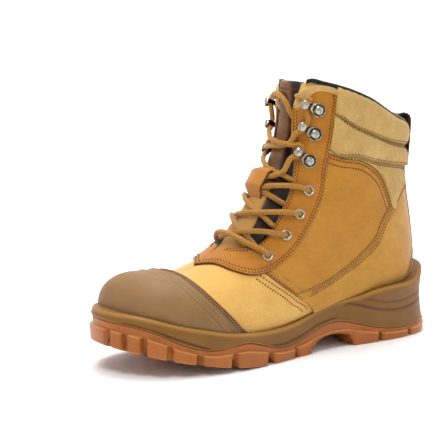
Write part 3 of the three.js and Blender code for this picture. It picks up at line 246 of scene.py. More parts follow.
# The lace over the tongue, between one fastening and the next: section place, turn, height.
# The first strand starts at the outer side, the second at the inner side.
FIRST_STRAND = [
    [
        (0.459, 34, 0.6), (0.461, 22, 3.3), (0.465, 9, 3.9),
        (0.482, -5, 4.6), (0.508, -26, 5.6), (0.519, -41, 5.0),
    ],
    [
        (0.512, -22, 0.8), (0.5, -8, 3.8), (0.506, 9, 6.2),
        (0.524, 23, 6.6), (0.551, 35, 5.9), (0.574, 44, 5.0),
    ],
    [
        (0.575, 33, 0.6), (0.568, 20, 3.3), (0.568, 8, 3.8),
        (0.583, -6, 4.6), (0.618, -24, 5.6), (0.634, -37, 5.0),
    ],
    [(0.628, -16, 1.4), (0.608, -3, 4.4), (0.606, 11, 6.2), (0.634, 21, 6.4)],
    [(0.738, 23, 6.2), (0.722, 11, 6.8), (0.735, -5, 6.4), (0.768, -18, 6.2)],
]
SECOND_STRAND = [
    [
        (0.45, -22, 0.8), (0.438, -8, 3.4), (0.447, 8, 6.0),
        (0.467, 21, 6.4), (0.494, 34, 5.9), (0.517, 45, 5.0),
    ],
    [
        (0.521, 36, 0.6), (0.52, 24, 3.3), (0.521, 12, 3.8),
        (0.534, -3, 4.6), (0.562, -24, 5.6), (0.575, -40, 5.0),
    ],
    [
        (0.573, -18, 1.0), (0.566, -4, 4.0), (0.578, 11, 6.0),
        (0.6, 24, 6.4), (0.622, 34, 5.9), (0.636, 41, 5.0),
    ],
    [(0.636, 32, 0.6), (0.629, 20, 3.4), (0.626, 7, 4.0), (0.645, -6, 5.0), (0.675, -20, 6.0)],
    [(0.712, -20, 6.0), (0.702, -4, 4.2), (0.708, 8, 4.4), (0.738, 19, 5.4)],
]
# The ends beyond the top hooks, tucked behind the tongue and the facing
FIRST_END = [
    (0.922, -29, 4.6), (0.93, -16, 5.0), (0.92, -2, 4.6),
    (0.893, 8, 3.8), (0.862, 13, 2.6), (0.84, 16, -0.6),
]
SECOND_END = [(0.918, 31, 4.6), (0.928, 25, 3.6), (0.926, 20, 0.0), (0.915, 18, -5.0)]


def unit(vectors: Array) -> Array:
    """Scales vectors to length one."""
    return vectors / np.maximum(np.linalg.norm(vectors, axis=-1, keepdims=True), 1e-12)


def smooth(value: Array) -> Array:
    """Eases a value from 0 to 1."""
    held = np.clip(value, 0, 1)
    return held * held * (3 - 2 * held)


def ridge(value: Array, centre: float | Array, width: float) -> Array:
    """A rounded bump of height one."""
    return np.exp(-(((value - centre) / width) ** 2))


class Profile:
    """A smooth curve through the rows of a table."""

    def __init__(self, keys: Sequence[float], values: Array) -> None:
        """Works out the slopes at the rows.

        Args:
            keys: Rising places of the rows.
            values: One value or one vector per row.
        """
        self.keys = np.asarray(keys, float)
        self.values = np.asarray(values, float)
        run = np.diff(self.keys)
        shape = (-1,) + (1,) * (self.values.ndim - 1)
        rise = np.diff(self.values, axis=0) / run.reshape(shape)
        before, after = run[:-1].reshape(shape), run[1:].reshape(shape)
        inner = (rise[:-1] * after + rise[1:] * before) / (before + after)
        if len(inner):
            first, last = 1.5 * rise[:1] - 0.5 * inner[:1], 1.5 * rise[-1:] - 0.5 * inner[-1:]
        else:
            first, last = rise[:1], rise[-1:]
        self.slopes = np.concatenate([first, inner, last])

    def __call__(self, place: Array | float) -> Array:
        """Reads the curve.

        Args:
            place: Places, held between the first and the last row.

        Returns:
            The values there.
        """
        at = np.clip(np.asarray(place, float), self.keys[0], self.keys[-1])
        i = np.clip(np.searchsorted(self.keys, at, side="right") - 1, 0, len(self.keys) - 2)
        run = self.keys[i + 1] - self.keys[i]
        s = (at - self.keys[i]) / run
        if self.values.ndim > 1:
            run, s = run[..., None], s[..., None]
        low, high = self.values[i], self.values[i + 1]
        return (
            low * (1 + 2 * s) * (1 - s) ** 2
            + high * s * s * (3 - 2 * s)
            + run * self.slopes[i] * s * (1 - s) ** 2
            + run * self.slopes[i + 1] * s * s * (s - 1)
        )


def columns(table: Sequence[Sequence[float]]) -> list[Profile]:
    """Curves through a table whose first column is their key."""
    rows = np.array(table, float)
    return [Profile(rows[:, 0], rows[:, k]) for k in range(1, rows.shape[1])]


def route(points: Array | Sequence[Sequence[float]], metric: Array | None = None) -> Profile:
    """A smooth line through points, read by a share of its length.

    Args:
        points: Points in order.
        metric: Weight of each coordinate when lengths are measured.

    Returns:
        The line over 0 to 1.
    """
    rows = np.asarray(points, float)
    steps = np.diff(rows, axis=0) * (1 if metric is None else metric)
    keys = np.concatenate([[0], np.cumsum(np.linalg.norm(steps, axis=1))])
    return Profile(keys / keys[-1], rows)


@dataclass(frozen=True)
class Seat:
    """A place on the upper for a fitting: its point and its three directions."""

    point: Array
    front: Array
    up: Array
    out: Array

    def at(self, x: float, y: float, z: float) -> Array:
        """A point in the directions of the place."""
        return self.point + self.front * x + self.up * y + self.out * z


class UpperForm:
    """The outer form of the upper as a function of section place and turn."""

    def __init__(self, sizes: Sizes) -> None:
        """Reads the tables.

        Args:
            sizes: Driving dimensions.
        """
        self.sizes = sizes
        self.front_x, self.front_low, self.front_rise = columns(FRONT)
        self.back_x, self.back_low, self.back_rise = columns(BACK)
        girth = columns(GIRTH)
        self.ball, self.shaft, self.swing, self.belly, self.front_power, self.back_power = girth
        (self.topline,) = columns(TOPLINE)
        (self.throat,) = columns(THROAT)
        self.upper_seam, self.lower_seam = columns(PAD_SEAMS)

    def spring(self, x: Array | float) -> Array:
        """Rise of the ground line under the forefoot.

        Args:
            x: Places along the sole.

        Returns:
            Heights.
        """
        start = 0.472 * self.sizes.outsole_length
        run = 0.868 * self.sizes.outsole_length - start
        return self.sizes.toe_spring * np.maximum(0, (np.asarray(x) - start) / run) ** 1.6

    def ground(self, x: Array | float) -> Array:
        """Ground line with the bevel at the back of the heel.

        Args:
            x: Places along the sole.

        Returns:
            Heights.
        """
        length = self.sizes.outsole_length
        bevel = np.maximum(0, (-0.044 * length - np.asarray(x)) / (0.088 * length)) ** 2
        return self.spring(x) + self.sizes.heel_bevel * bevel

    def point(self, t: Array | float, turn: Array | float) -> Array:
        """A point of the form.

        Args:
            t: Section places from the toe to the collar.
            turn: Turns in degrees, 0 at the front.

        Returns:
            Points in the last axis.
        """
        t, turn = np.broadcast_arrays(np.asarray(t, float), np.asarray(turn, float))
        size = self.sizes
        angle = np.radians(turn)
        front_x = self.front_x(t) * size.upper_length
        front_z = (
            self.spring(front_x)
            + self.front_low(t) * size.toe_height
            + self.front_rise(t) * (size.collar_height - size.toe_height)
        )
        back_x = self.back_x(t) * size.upper_length
        back_z = (
            self.spring(back_x)
            + self.back_low(t) * size.seat_height
            + self.back_rise(t) * (size.back_height - size.seat_height)
        )
        half = (self.ball(t) * size.ball_width + self.shaft(t) * size.shaft_width) / 2
        belly = self.belly(t)
        c, s = np.cos(angle), np.sin(angle)
        power = np.where(c >= 0, self.front_power(t), self.back_power(t))
        radius = (np.abs(c) ** power + np.abs(s) ** power) ** (-1 / power)
        along = radius * c
        share = np.where(along >= 0, belly - belly * along, belly - (1 - belly) * along)
        return np.stack(
            [
                front_x + (back_x - front_x) * share,
                self.swing(t) * size.ball_width / 2 + half * radius * s,
                front_z + (back_z - front_z) * share,
            ],
            axis=-1,
        )

    def outward(self, t: Array | float, turn: Array | float) -> Array:
        """The outward direction of the form.

        Args:
            t: Section places.
            turn: Turns in degrees.

        Returns:
            Directions of length one.
        """
        t, turn = np.broadcast_arrays(np.asarray(t, float), np.asarray(turn, float))
        along = self.point(t + 0.001, turn) - self.point(np.maximum(0, t - 0.001), turn)
        around = self.point(t, turn + 0.23) - self.point(t, turn - 0.23)
        return unit(np.cross(around, along))

    def skin(self, t: Array | float, turn: Array | float, off: Array | float) -> Array:
        """A point off the form."""
        return self.point(t, turn) + self.outward(t, turn) * np.asarray(off, float)[..., None]

    def gap(self, t: Array | float) -> Array:
        """Half width of the throat."""
        return self.throat(t) * self.sizes.ball_width / 2

    def turn_at(self, t: Array | float, y: Array | float, back: bool = False) -> Array:
        """The turn at which the form is y to the side of its middle.

        Args:
            t: Section places.
            y: Distances to the outer side.
            back: Whether to look around the back and not around the front.

        Returns:
            Turns in degrees.
        """
        t, y = np.broadcast_arrays(np.asarray(t, float), np.asarray(y, float))
        start = 180.0 if back else 0.0
        side = -np.sign(y) if back else np.sign(y)
        low, high = np.zeros(t.shape), np.full(t.shape, 90.0)
        middle_y = self.point(t, start)[..., 1]
        for _ in range(22):
            middle = (low + high) / 2
            near = np.abs(self.point(t, start + side * middle)[..., 1] - middle_y) < np.abs(y)
            low, high = np.where(near, middle, low), np.where(near, high, middle)
        return start + side * low

    def gap_turn(self, t: Array | float, share: float = 1.0) -> Array:
        """Turn of the throat's edge.

        Args:
            t: Section places.
            share: Share of the half width.

        Returns:
            Turns in degrees, zero below the throat.
        """
        t = np.asarray(t, float)
        open_here = smooth((t - 0.411) / 0.004)
        return self.turn_at(t, self.gap(t) * share * open_here)

    def seat(self, t: float, turn: float, off: float) -> Seat:
        """A place on the upper for a fitting.

        Args:
            t: Section place.
            turn: Turn in degrees, with its side's sign.
            off: Distance outwards.

        Returns:
            The place.
        """
        out = self.outward(t, turn)
        toward = self.point(t, turn - math.copysign(1.2, turn)) - self.point(t, turn)
        along = self.point(t + 0.01, turn) - self.point(t, turn)
        side = unit(np.cross(out, toward))
        front = unit(np.cross(side, out))
        up = side if float(np.dot(side, along)) > 0 else -side
        return Seat(self.skin(t, turn, off), front, up, out)

    def pad_height(self, t: Array, turn: Array) -> Array:
        """Thickness of the collar pads, creased along their seams.

        Args:
            t: Section places.
            turn: Turns in degrees.

        Returns:
            Thicknesses.
        """
        bend = np.abs(turn)
        upper, lower, top = self.upper_seam(bend), self.lower_seam(bend), self.topline(bend)

        def swell(start: Array, end: Array) -> Array:
            """Height of one roll between two seams."""
            return np.sqrt(np.maximum(0, 1 - np.abs((2 * t - start - end) / (end - start)) ** 2.2))

        roll = swell(upper, top + 0.004)
        band = 0.85 * swell(lower, upper)
        wedge = 0.45 * swell(lower - 0.13, lower)
        return 1.2 + 5.5 * np.maximum(np.maximum(roll, band), wedge)


@dataclass
class Raw:
    """A mesh in the making: points, faces, and named values per point."""

    points: Array
    faces: list[tuple[int, ...]]
    values: dict[str, Array] = field(default_factory=dict)
    finish: list[int] = field(default_factory=list)

    def volume(self) -> float:
        """Signed volume of the closed mesh."""
        total = 0.0
        for face in self.faces:
            a = self.points[face[0]]
            for b, c in zip(face[1:-1], face[2:]):
                total += float(np.dot(a, np.cross(self.points[b], self.points[c])))
        return total / 6

    def turned(self) -> "Raw":
        """The same mesh with its faces turned over."""
        return Raw(self.points, [face[::-1] for face in self.faces], self.values, self.finish)

    def outward(self) -> "Raw":
        """The closed mesh with its faces looking out."""
        return self if self.volume() > 0 else self.turned()


def grid_faces(rows: int, cols: int, first: int = 0, wrap: bool = False) -> list[tuple[int, ...]]:
    """Four-sided faces over a grid of points.

    Args:
        rows: Number of rows.
        cols: Number of columns.
        first: Index of the first point.
        wrap: Whether the last column joins the first.

    Returns:
        The faces.
    """
    i, j = np.meshgrid(np.arange(rows - 1), np.arange(cols if wrap else cols - 1), indexing="ij")
    k = (j + 1) % cols
    quads = np.stack([i * cols + j, i * cols + k, (i + 1) * cols + k, (i + 1) * cols + j], axis=-1)
    return [tuple(quad) for quad in (quads.reshape(-1, 4) + first).tolist()]


def join(parts: Sequence[Raw]) -> Raw:
    """Puts meshes together as one.

    Args:
        parts: The meshes; each has the same named values.

    Returns:
        The joined mesh.
    """
    faces: list[tuple[int, ...]] = []
    finish: list[int] = []
    first = 0
    for part in parts:
        faces += [tuple(index + first for index in face) for face in part.faces]
        finish += part.finish or [0] * len(part.faces)
        first += len(part.points)
    names = parts[0].values.keys()
    values = {name: np.concatenate([part.values[name] for part in parts]) for name in names}
    return Raw(np.concatenate([part.points for part in parts]), faces, values, finish)


def shell(outer: Array, inner: Array, values: dict[str, Array], lining: bool = True) -> Raw:
    """A closed mesh between two grids of points with the same rows and columns.

    Args:
        outer: Points of the outer face.
        inner: Points of the inner face.
        values: Named values over the outer grid; the inner face takes the same.
        lining: Whether inner face and rims take the second finish.

    Returns:
        The closed mesh.
    """
    rows, cols = outer.shape[:2]
    count = rows * cols
    face_out = grid_faces(rows, cols)
    face_in = [face[::-1] for face in grid_faces(rows, cols, count)]
    loop = [j for j in range(cols)]
    loop += [i * cols + cols - 1 for i in range(1, rows)]
    loop += [(rows - 1) * cols + j for j in range(cols - 2, -1, -1)]
    loop += [i * cols for i in range(rows - 2, 0, -1)]
    rim = [(b, a, a + count, b + count) for a, b in zip(loop, loop[1:] + loop[:1])]
    mark = 1 if lining else 0
    finish = [0] * len(face_out) + [mark] * (len(face_in) + len(rim))
    both = {name: np.concatenate([v.ravel(), v.ravel()]) for name, v in values.items()}
    points = np.concatenate([outer.reshape(-1, 3), inner.reshape(-1, 3)])
    return Raw(points, face_out + face_in + rim, both, finish).outward()


def tube(points: Array, radius: float | Array, sides: int = 12, flat: float = 1.0) -> Raw:
    """A round cord along a line of points, closed at both ends.

    Args:
        points: The line, finely spaced.
        radius: Radius, or one per point.
        sides: Sides of the round.
        flat: Height of the section as a share of its width.

    Returns:
        The cord, with the values "along" and "around" in millimetres.
    """
    count = len(points)
    tangent = unit(np.gradient(points, axis=0))
    normal = np.zeros_like(points)
    seed = np.array([0.0, 0.0, 1.0]) if abs(tangent[0, 2]) < 0.9 else np.array([1.0, 0.0, 0.0])
    normal[0] = unit(np.cross(np.cross(tangent[0], seed), tangent[0]))
    for i in range(1, count):
        carried = normal[i - 1] - tangent[i] * np.dot(normal[i - 1], tangent[i])
        normal[i] = unit(carried)
    binormal = np.cross(tangent, normal)
    angle = np.arange(sides) / sides * 2 * np.pi
    sizes = np.broadcast_to(np.asarray(radius, float), (count,))[:, None, None]
    ring = (
        normal[:, None] * np.cos(angle)[None, :, None] * flat
        + binormal[:, None] * np.sin(angle)[None, :, None]
    )
    body = points[:, None] + ring * sizes
    length = np.concatenate([[0], np.cumsum(np.linalg.norm(np.diff(points, axis=0), axis=1))])
    along = np.repeat(length, sides)
    around = np.tile(angle, count)
    faces = grid_faces(count, sides, wrap=True)
    faces.append(tuple(range(sides))[::-1])
    faces.append(tuple((count - 1) * sides + j for j in range(sides)))
    return Raw(body.reshape(-1, 3), faces, {"along": along, "around": around}).outward()


def resample(points: Array, spacing: float) -> Array:
    """A smooth line through points at an even spacing.

    Args:
        points: Points in order.
        spacing: Distance between the new points.

    Returns:
        The new points.
    """
    line = route(points)
    rough = line(np.linspace(0, 1, 12 * len(points)))
    length = np.concatenate([[0], np.cumsum(np.linalg.norm(np.diff(rough, axis=0), axis=1))])
    count = max(4, int(round(length[-1] / spacing)) + 1)
    places = np.interp(np.linspace(0, length[-1], count), length, np.linspace(0, 1, len(rough)))
    return line(places)


def turned_shape(profile: Line, sides: int) -> Raw:
    """A turned body about Z.

    Args:
        profile: Radius and height of each ring; radius zero closes an end.
        sides: Sides of the round.

    Returns:
        The body.
    """
    angle = np.arange(sides) / sides * 2 * np.pi
    rings = [
        np.stack([r * np.cos(angle), r * np.sin(angle), np.full(sides, z)], axis=-1)
        for r, z in profile
    ]
    points = np.concatenate(rings)
    return Raw(points, grid_faces(len(profile), sides, wrap=True))


def placed(raw: Raw, seat: Seat) -> Raw:
    """Moves a small shape to a place on the upper.

    Args:
        raw: The shape, x to the throat, y up the facing, z outwards.
        seat: The place.

    Returns:
        The moved shape, its faces looking out.
    """
    axes = np.stack([seat.front, seat.up, seat.out])
    moved = Raw(raw.points @ axes + seat.point, raw.faces, raw.values, raw.finish)
    return moved if np.linalg.det(axes) > 0 else moved.turned()


@dataclass(frozen=True)
class StitchStyle:
    """How a row of stitches is sewn."""

    length: float = 1.75
    pause: float = 0.95
    thread: float = 0.58
    sink: float = 0.35


def stitches(line: Array, normals: Array, style: StitchStyle) -> Raw:
    """A row of single stitches along a line on a surface.

    Args:
        line: Points on the surface, finely spaced.
        normals: Outward directions there.
        style: How the row is sewn.

    Returns:
        The row of stitches.
    """
    length = np.concatenate([[0], np.cumsum(np.linalg.norm(np.diff(line, axis=0), axis=1))])
    pitch = style.length + style.pause
    count = max(1, int(length[-1] / pitch))
    starts = (np.arange(count) + 0.5) * length[-1] / count
    shares = np.array([-0.5, -0.42, -0.2, 0.0, 0.2, 0.42, 0.5])
    swell = np.array([0.25, 0.75, 0.98, 1.0, 0.98, 0.75, 0.25])
    sides = 6
    angle = np.arange(sides) / sides * 2 * np.pi
    place = starts[:, None] + shares[None] * style.length

    def read(source: Array) -> Array:
        """Reads a line's values at the rings of the stitches."""
        return np.stack([np.interp(place, length, source[:, k]) for k in range(3)], axis=-1)

    centre, normal = read(line), unit(read(normals))
    tangent = unit(read(np.gradient(line, axis=0)))
    side = unit(np.cross(normal, tangent))
    dip = style.sink * (2 * np.abs(shares)) ** 2
    centre = centre + normal * (0.12 - dip)[None, :, None]
    ring = (
        side[:, :, None] * np.cos(angle)[None, None, :, None]
        + normal[:, :, None] * np.sin(angle)[None, None, :, None] * 0.85
    )
    points = centre[:, :, None] + ring * (style.thread * swell)[None, :, None, None]
    faces: list[tuple[int, ...]] = []
    per = len(shares) * sides
    for k in range(count):
        faces += grid_faces(len(shares), sides, k * per, wrap=True)
        faces.append(tuple(k * per + j for j in range(sides))[::-1])
        faces.append(tuple((k + 1) * per - sides + j for j in range(sides)))
    raw = Raw(points.reshape(-1, 3), faces)
    return raw.outward()


class Patch:
    """A four-sided piece of the upper's surface with distances from its sides."""

    METRIC = np.array([250.0, 0.62])

    def __init__(self, form: UpperForm, t: Array, turn: Array) -> None:
        """Measures the patch.

        Args:
            form: The upper's form.
            t: Section places, rows by columns.
            turn: Turns in degrees, rows by columns.
        """
        self.form = form
        self.t, self.turn = t, turn
        self.base = form.point(t, turn)
        self.normal = form.outward(t, turn)
        down = np.linalg.norm(np.diff(self.base, axis=0), axis=-1)
        across = np.linalg.norm(np.diff(self.base, axis=1), axis=-1)
        zero_row, zero_col = np.zeros((1, t.shape[1])), np.zeros((t.shape[0], 1))
        self.from_first_row = np.concatenate([zero_row, np.cumsum(down, axis=0)])
        self.from_last_row = self.from_first_row[-1:] - self.from_first_row
        self.from_first_col = np.concatenate([zero_col, np.cumsum(across, axis=1)], axis=1)
        self.from_last_col = self.from_first_col[:, -1:] - self.from_first_col

    @classmethod
    def between(
        cls, form: UpperForm, first: Line, last: Line, start: Line, end: Line, rows: Array, cols: Array
    ) -> "Patch":
        """A patch within four lines on the chart of section place and turn.

        Args:
            form: The upper's form.
            first: First column, from the first row to the last.
            last: Last column, in the same direction.
            start: First row, from the first column to the last.
            end: Last row, in the same direction.
            rows: Shares of the way along the columns.
            cols: Shares of the way along the rows.

        Returns:
            The patch.
        """
        left, right = route(first, cls.METRIC)(rows)[:, None], route(last, cls.METRIC)(rows)[:, None]
        low, high = route(start, cls.METRIC)(cols)[None], route(end, cls.METRIC)(cols)[None]
        u, v = rows[:, None, None], cols[None, :, None]
        corners = (
            (1 - u) * ((1 - v) * low[:, :1] + v * low[:, -1:])
            + u * ((1 - v) * high[:, :1] + v * high[:, -1:])
        )
        chart = (1 - v) * left + v * right + (1 - u) * low + u * high - corners
        return cls(form, chart[..., 0], chart[..., 1])

    def off(self, distance: Array | float) -> Array:
        """The patch's points off the form."""
        away = np.broadcast_to(np.asarray(distance, float), self.t.shape)
        return self.base + self.normal * away[..., None]

    def raise_skin(self, height: Array, edge: Array, sink: float = 1.2) -> Raw:
        """A closed panel of leather: its face at a height and its back just under the form."""
        return shell(self.off(height), self.off(-sink), {"edge": edge}, lining=False)


def clustered(count: int, near: float, start: bool = True, end: bool = True) -> Array:
    """Shares from 0 to 1 that lie closer together near the ends.

    Args:
        count: Number of even steps in the middle.
        near: Share of the way that the close steps take at an end.
        start: Whether the close steps are at 0.
        end: Whether they are at 1.

    Returns:
        The shares.
    """
    close = near * np.array([0.0, 0.06, 0.18, 0.36, 0.6, 0.85])
    low, high = (near * 1.15 if start else 0.0), (1 - near * 1.15 if end else 1.0)
    parts = [np.linspace(low, high, count)]
    if start:
        parts.insert(0, close)
    if end:
        parts.append(1 - close[::-1])
    return np.concatenate(parts)


def rolled(distance: Array, radius: float) -> Array:
    """Rise of a rounded edge."""
    return np.sqrt(np.maximum(0, 1 - (1 - np.clip(distance / radius, 0, 1)) ** 2))


class Sheet:
    """Nodes of one material, wired as they are made."""

    FIRST_COLOR, SECOND_COLOR, MIXED_COLOR = 6, 7, 2

    def __init__(self, name: str) -> None:
        """Starts an empty material.

        Args:
            name: The material's name.
        """
        self.material = bpy.data.materials.new(name)
        self.material.use_nodes = True
        self.tree = self.material.node_tree
        self.tree.nodes.clear()
        self.place = self.node("ShaderNodeTexCoord").outputs["Object"]

    def node(self, kind: str, options: dict | None = None, **sockets: object) -> bpy.types.Node:
        """Adds a node.

        Args:
            kind: The node's type.
            options: Settings of the node.
            sockets: Values or outputs for its inputs, spaces written as underscores.

        Returns:
            The node.
        """
        made = self.tree.nodes.new(kind)
        for key, value in (options or {}).items():
            setattr(made, key, value)
        for key, value in sockets.items():
            self.feed(made.inputs[key.replace("_", " ")], value)
        return made

    def feed(self, socket: bpy.types.NodeSocket, value: object) -> None:
        """Sets an input to a value, or links an output to it.

        Args:
            socket: The input.
            value: A number, a colour or an output.
        """
        if isinstance(value, bpy.types.NodeSocket):
            self.tree.links.new(value, socket)
        else:
            socket.default_value = value

    def noise(
        self, size: float, detail: float = 3, rough: float = 0.55, stretch: Sequence[float] = (1, 1, 1)
    ) -> bpy.types.NodeSocket:
        """Cloudy noise.

        Args:
            size: Size of its features in millimetres.
            detail: Number of finer layers.
            rough: Strength of the finer layers.
            stretch: Scale along each axis.

        Returns:
            The output with values about a half.
        """
        spread = self.node("ShaderNodeMapping", Vector=self.place, Scale=tuple(stretch)).outputs["Vector"]
        made = self.node(
            "ShaderNodeTexNoise", Vector=spread, Scale=1000 / size, Detail=detail, Roughness=rough
        )
        return made.outputs["Fac"]

    def cells(self, size: float, feature: str = "F1") -> bpy.types.NodeSocket:
        """Cell pattern."""
        made = self.node("ShaderNodeTexVoronoi", {"feature": feature}, Vector=self.place, Scale=1000 / size)
        return made.outputs["Distance"]

    def attribute(self, name: str) -> bpy.types.NodeSocket:
        """A named value of the mesh."""
        return self.node("ShaderNodeAttribute", {"attribute_name": name}).outputs["Fac"]

    def math(self, how: str, a: object, b: object = 0.0) -> bpy.types.NodeSocket:
        """Arithmetic on two values.

        Args:
            how: The operation.
            a: First value or output.
            b: Second value or output.

        Returns:
            The result.
        """
        made = self.tree.nodes.new("ShaderNodeMath")
        made.operation = how
        self.feed(made.inputs[0], a)
        self.feed(made.inputs[1], b)
        return made.outputs[0]

    def span(
        self, value: object, low: float, high: float, to_low: float = 0.0, to_high: float = 1.0
    ) -> bpy.types.NodeSocket:
        """Maps a value's span onto another, held at its ends.

        Args:
            value: The value.
            low: Value that gives to_low.
            high: Value that gives to_high.
            to_low: First result.
            to_high: Last result.

        Returns:
            The mapped value.
        """
        made = self.node("ShaderNodeMapRange", Value=value)
        for key, number in (("From Min", low), ("From Max", high), ("To Min", to_low), ("To Max", to_high)):
            made.inputs[key].default_value = number
        return made.outputs["Result"]

    def blend(self, share: object, a: object, b: object, how: str = "MIX") -> bpy.types.NodeSocket:
        """Mixes two colours.

        Args:
            share: Share of the second.
            a: First colour or output.
            b: Second colour or output.
            how: Blend mode.

        Returns:
            The mixed colour.
        """
        made = self.node("ShaderNodeMix", {"data_type": "RGBA", "blend_type": how})
        self.feed(made.inputs["Factor"], share)
        self.feed(made.inputs[self.FIRST_COLOR], a)
        self.feed(made.inputs[self.SECOND_COLOR], b)
        return made.outputs[self.MIXED_COLOR]

    def bump(self, height: object, depth: float, under: object | None = None) -> bpy.types.NodeSocket:
        """Relief from a height.

        Args:
            height: Heights from 0 to 1.
            depth: What a height of one means in millimetres.
            under: Relief that this one lies on.

        Returns:
            The normal.
        """
        made = self.node("ShaderNodeBump", Height=height, Distance=depth * MILLIMETRE, Strength=1.0)
        if under is not None:
            self.feed(made.inputs["Normal"], under)
        return made.outputs["Normal"]

    def finish(
        self, color: object, roughness: object, normal: object | None = None, **sockets: float
    ) -> bpy.types.Material:
        """Ends the material with its surface.

        Args:
            color: Base colour.
            roughness: Roughness.
            normal: Relief.
            sockets: Further inputs of the surface, set as plain values.

        Returns:
            The material.
        """
        surface = self.node("ShaderNodeBsdfPrincipled", Base_Color=color, Roughness=roughness)
        if normal is not None:
            self.feed(surface.inputs["Normal"], normal)
        for key, value in sockets.items():
            surface.inputs[key.replace("_", " ")].default_value = value
        self.node("ShaderNodeOutputMaterial", Surface=surface.outputs["BSDF"])
        return self.material


def shade(hex_color: str, factor: float = 1.0) -> tuple[float, float, float, float]:
    """A colour for the shader from its screen value.

    Args:
        hex_color: Six hexadecimal digits.
        factor: Brightness.

    Returns:
        Linear colour with alpha.
    """
    screen = [int(hex_color[k : k + 2], 16) / 255 for k in (0, 2, 4)]
    linear = [v / 12.92 if v <= 0.04045 else ((v + 0.055) / 1.055) ** 2.4 for v in screen]
    return (*[min(1.0, v * factor) for v in linear], 1.0)


@dataclass(frozen=True)
class Nubuck:
    """Brushed leather with a short nap and burnished cut edges; the edge colour also paints shade into the
    grooves under stitch rows.
    """

    name: str
    slot: str
    color: str
    shadow: str
    edge: str = "4A2410"
    mottle: float = 0.5

    def make(self) -> bpy.types.Material:
        """Builds the material."""
        sheet = Sheet(self.name)
        cloud = sheet.span(sheet.noise(17, 3), 0.3, 0.7)
        brushed = sheet.span(sheet.noise(5, 4, 0.65, (0.6, 1, 1.6)), 0.35, 0.68)
        speck = sheet.span(sheet.noise(0.8, 2), 0.42, 0.62)
        tone = sheet.math("MULTIPLY", cloud, self.mottle)
        color = sheet.blend(tone, shade(self.color), shade(self.shadow))
        color = sheet.blend(sheet.math("MULTIPLY", brushed, 0.3), color, shade(self.color, 1.18))
        color = sheet.blend(sheet.math("MULTIPLY", speck, 0.2), color, shade(self.shadow, 0.72))
        # Burnished edges, and painted shade in the grooves under stitch rows, both from the edge value.
        color = sheet.blend(sheet.span(sheet.attribute("edge"), 0.25, 0.9), color, shade(self.edge))
        nap = sheet.bump(sheet.noise(0.45, 3, 0.6), 0.12)
        pores = sheet.bump(sheet.cells(1.3), 0.05, nap)
        relief = sheet.bump(sheet.noise(9, 2), 0.35, pores)
        rough = sheet.span(brushed, 0, 1, 0.92, 0.78)
        return sheet.finish(
            color, rough, relief, Sheen_Weight=0.35, Sheen_Roughness=0.45, Specular_IOR_Level=0.25
        )


@dataclass(frozen=True)
class GrainLeather:
    """Soft or pull-up leather with a pebble grain."""

    name: str
    slot: str
    color: str
    shadow: str
    light: str
    pebble: float = 1.7
    depth: float = 0.16
    rough: float = 0.6
    wax: float = 0.0

    def make(self) -> bpy.types.Material:
        """Builds the material."""
        sheet = Sheet(self.name)
        cloud = sheet.span(sheet.noise(14, 3), 0.32, 0.7)
        pebbles = sheet.cells(self.pebble)
        fine = sheet.noise(0.6, 3)
        color = sheet.blend(sheet.math("MULTIPLY", cloud, 0.55), shade(self.color), shade(self.shadow))
        worn = sheet.span(sheet.noise(24, 4, 0.6), 0.55, 0.72)
        color = sheet.blend(sheet.math("MULTIPLY", worn, 0.5), color, shade(self.light))
        color = sheet.blend(sheet.span(pebbles, 0.3, 0.9, 0, 0.35), color, shade(self.shadow, 0.7))
        # Darker with the edge value: burnished edges, with painted shade in the collar pad creases and over
        # the tongue's outer side.
        color = sheet.blend(sheet.span(sheet.attribute("edge"), 0.3, 1.0), color, shade(self.shadow, 0.6))
        relief = sheet.bump(sheet.math("SUBTRACT", 1.0, pebbles), self.depth)
        relief = sheet.bump(fine, 0.06, relief)
        rough = sheet.span(cloud, 0, 1, self.rough + 0.08, self.rough - 0.08)
        return sheet.finish(
            color, rough, relief, Coat_Weight=self.wax, Coat_Roughness=0.35, Specular_IOR_Level=0.4
        )


@dataclass(frozen=True)
class Moulded:
    """Moulded rubber or foam with a faint cast texture, painted highlights along rounded edges and painted
    shade in grooves.
    """

    name: str
    slot: str
    color: str
    shadow: str
    light: str
    grain: float = 0.5
    depth: float = 0.05
    rough: float = 0.6
    glow: float = 0.0

    def make(self) -> bpy.types.Material:
        """Builds the material."""
        sheet = Sheet(self.name)
        cloud = sheet.span(sheet.noise(20, 3), 0.3, 0.7)
        scuff = sheet.span(sheet.noise(2.4, 4, 0.7, (0.5, 0.5, 2)), 0.56, 0.75)
        color = sheet.blend(sheet.math("MULTIPLY", cloud, 0.4), shade(self.color), shade(self.shadow))
        color = sheet.blend(sheet.math("MULTIPLY", scuff, 0.14), color, shade(self.light))
        # Painted highlight where the edge value is above zero: rims, bevels and rib crests.
        color = sheet.blend(sheet.attribute("edge"), color, shade(self.light))
        # Painted shade where the edge value is below zero: moulded grooves and the cap's rear lip.
        groove = sheet.math("MULTIPLY", sheet.attribute("edge"), -1.0)
        color = sheet.blend(groove, color, shade(self.shadow, 0.4))
        relief = sheet.bump(sheet.noise(self.grain, 3), self.depth)
        relief = sheet.bump(sheet.noise(6, 2), 0.12, relief)
        rough = sheet.span(scuff, 0, 1, self.rough, min(1.0, self.rough + 0.15))
        return sheet.finish(
            color,
            rough,
            relief,
            Subsurface_Weight=self.glow,
            Subsurface_Scale=0.004,
            Specular_IOR_Level=0.4,
        )


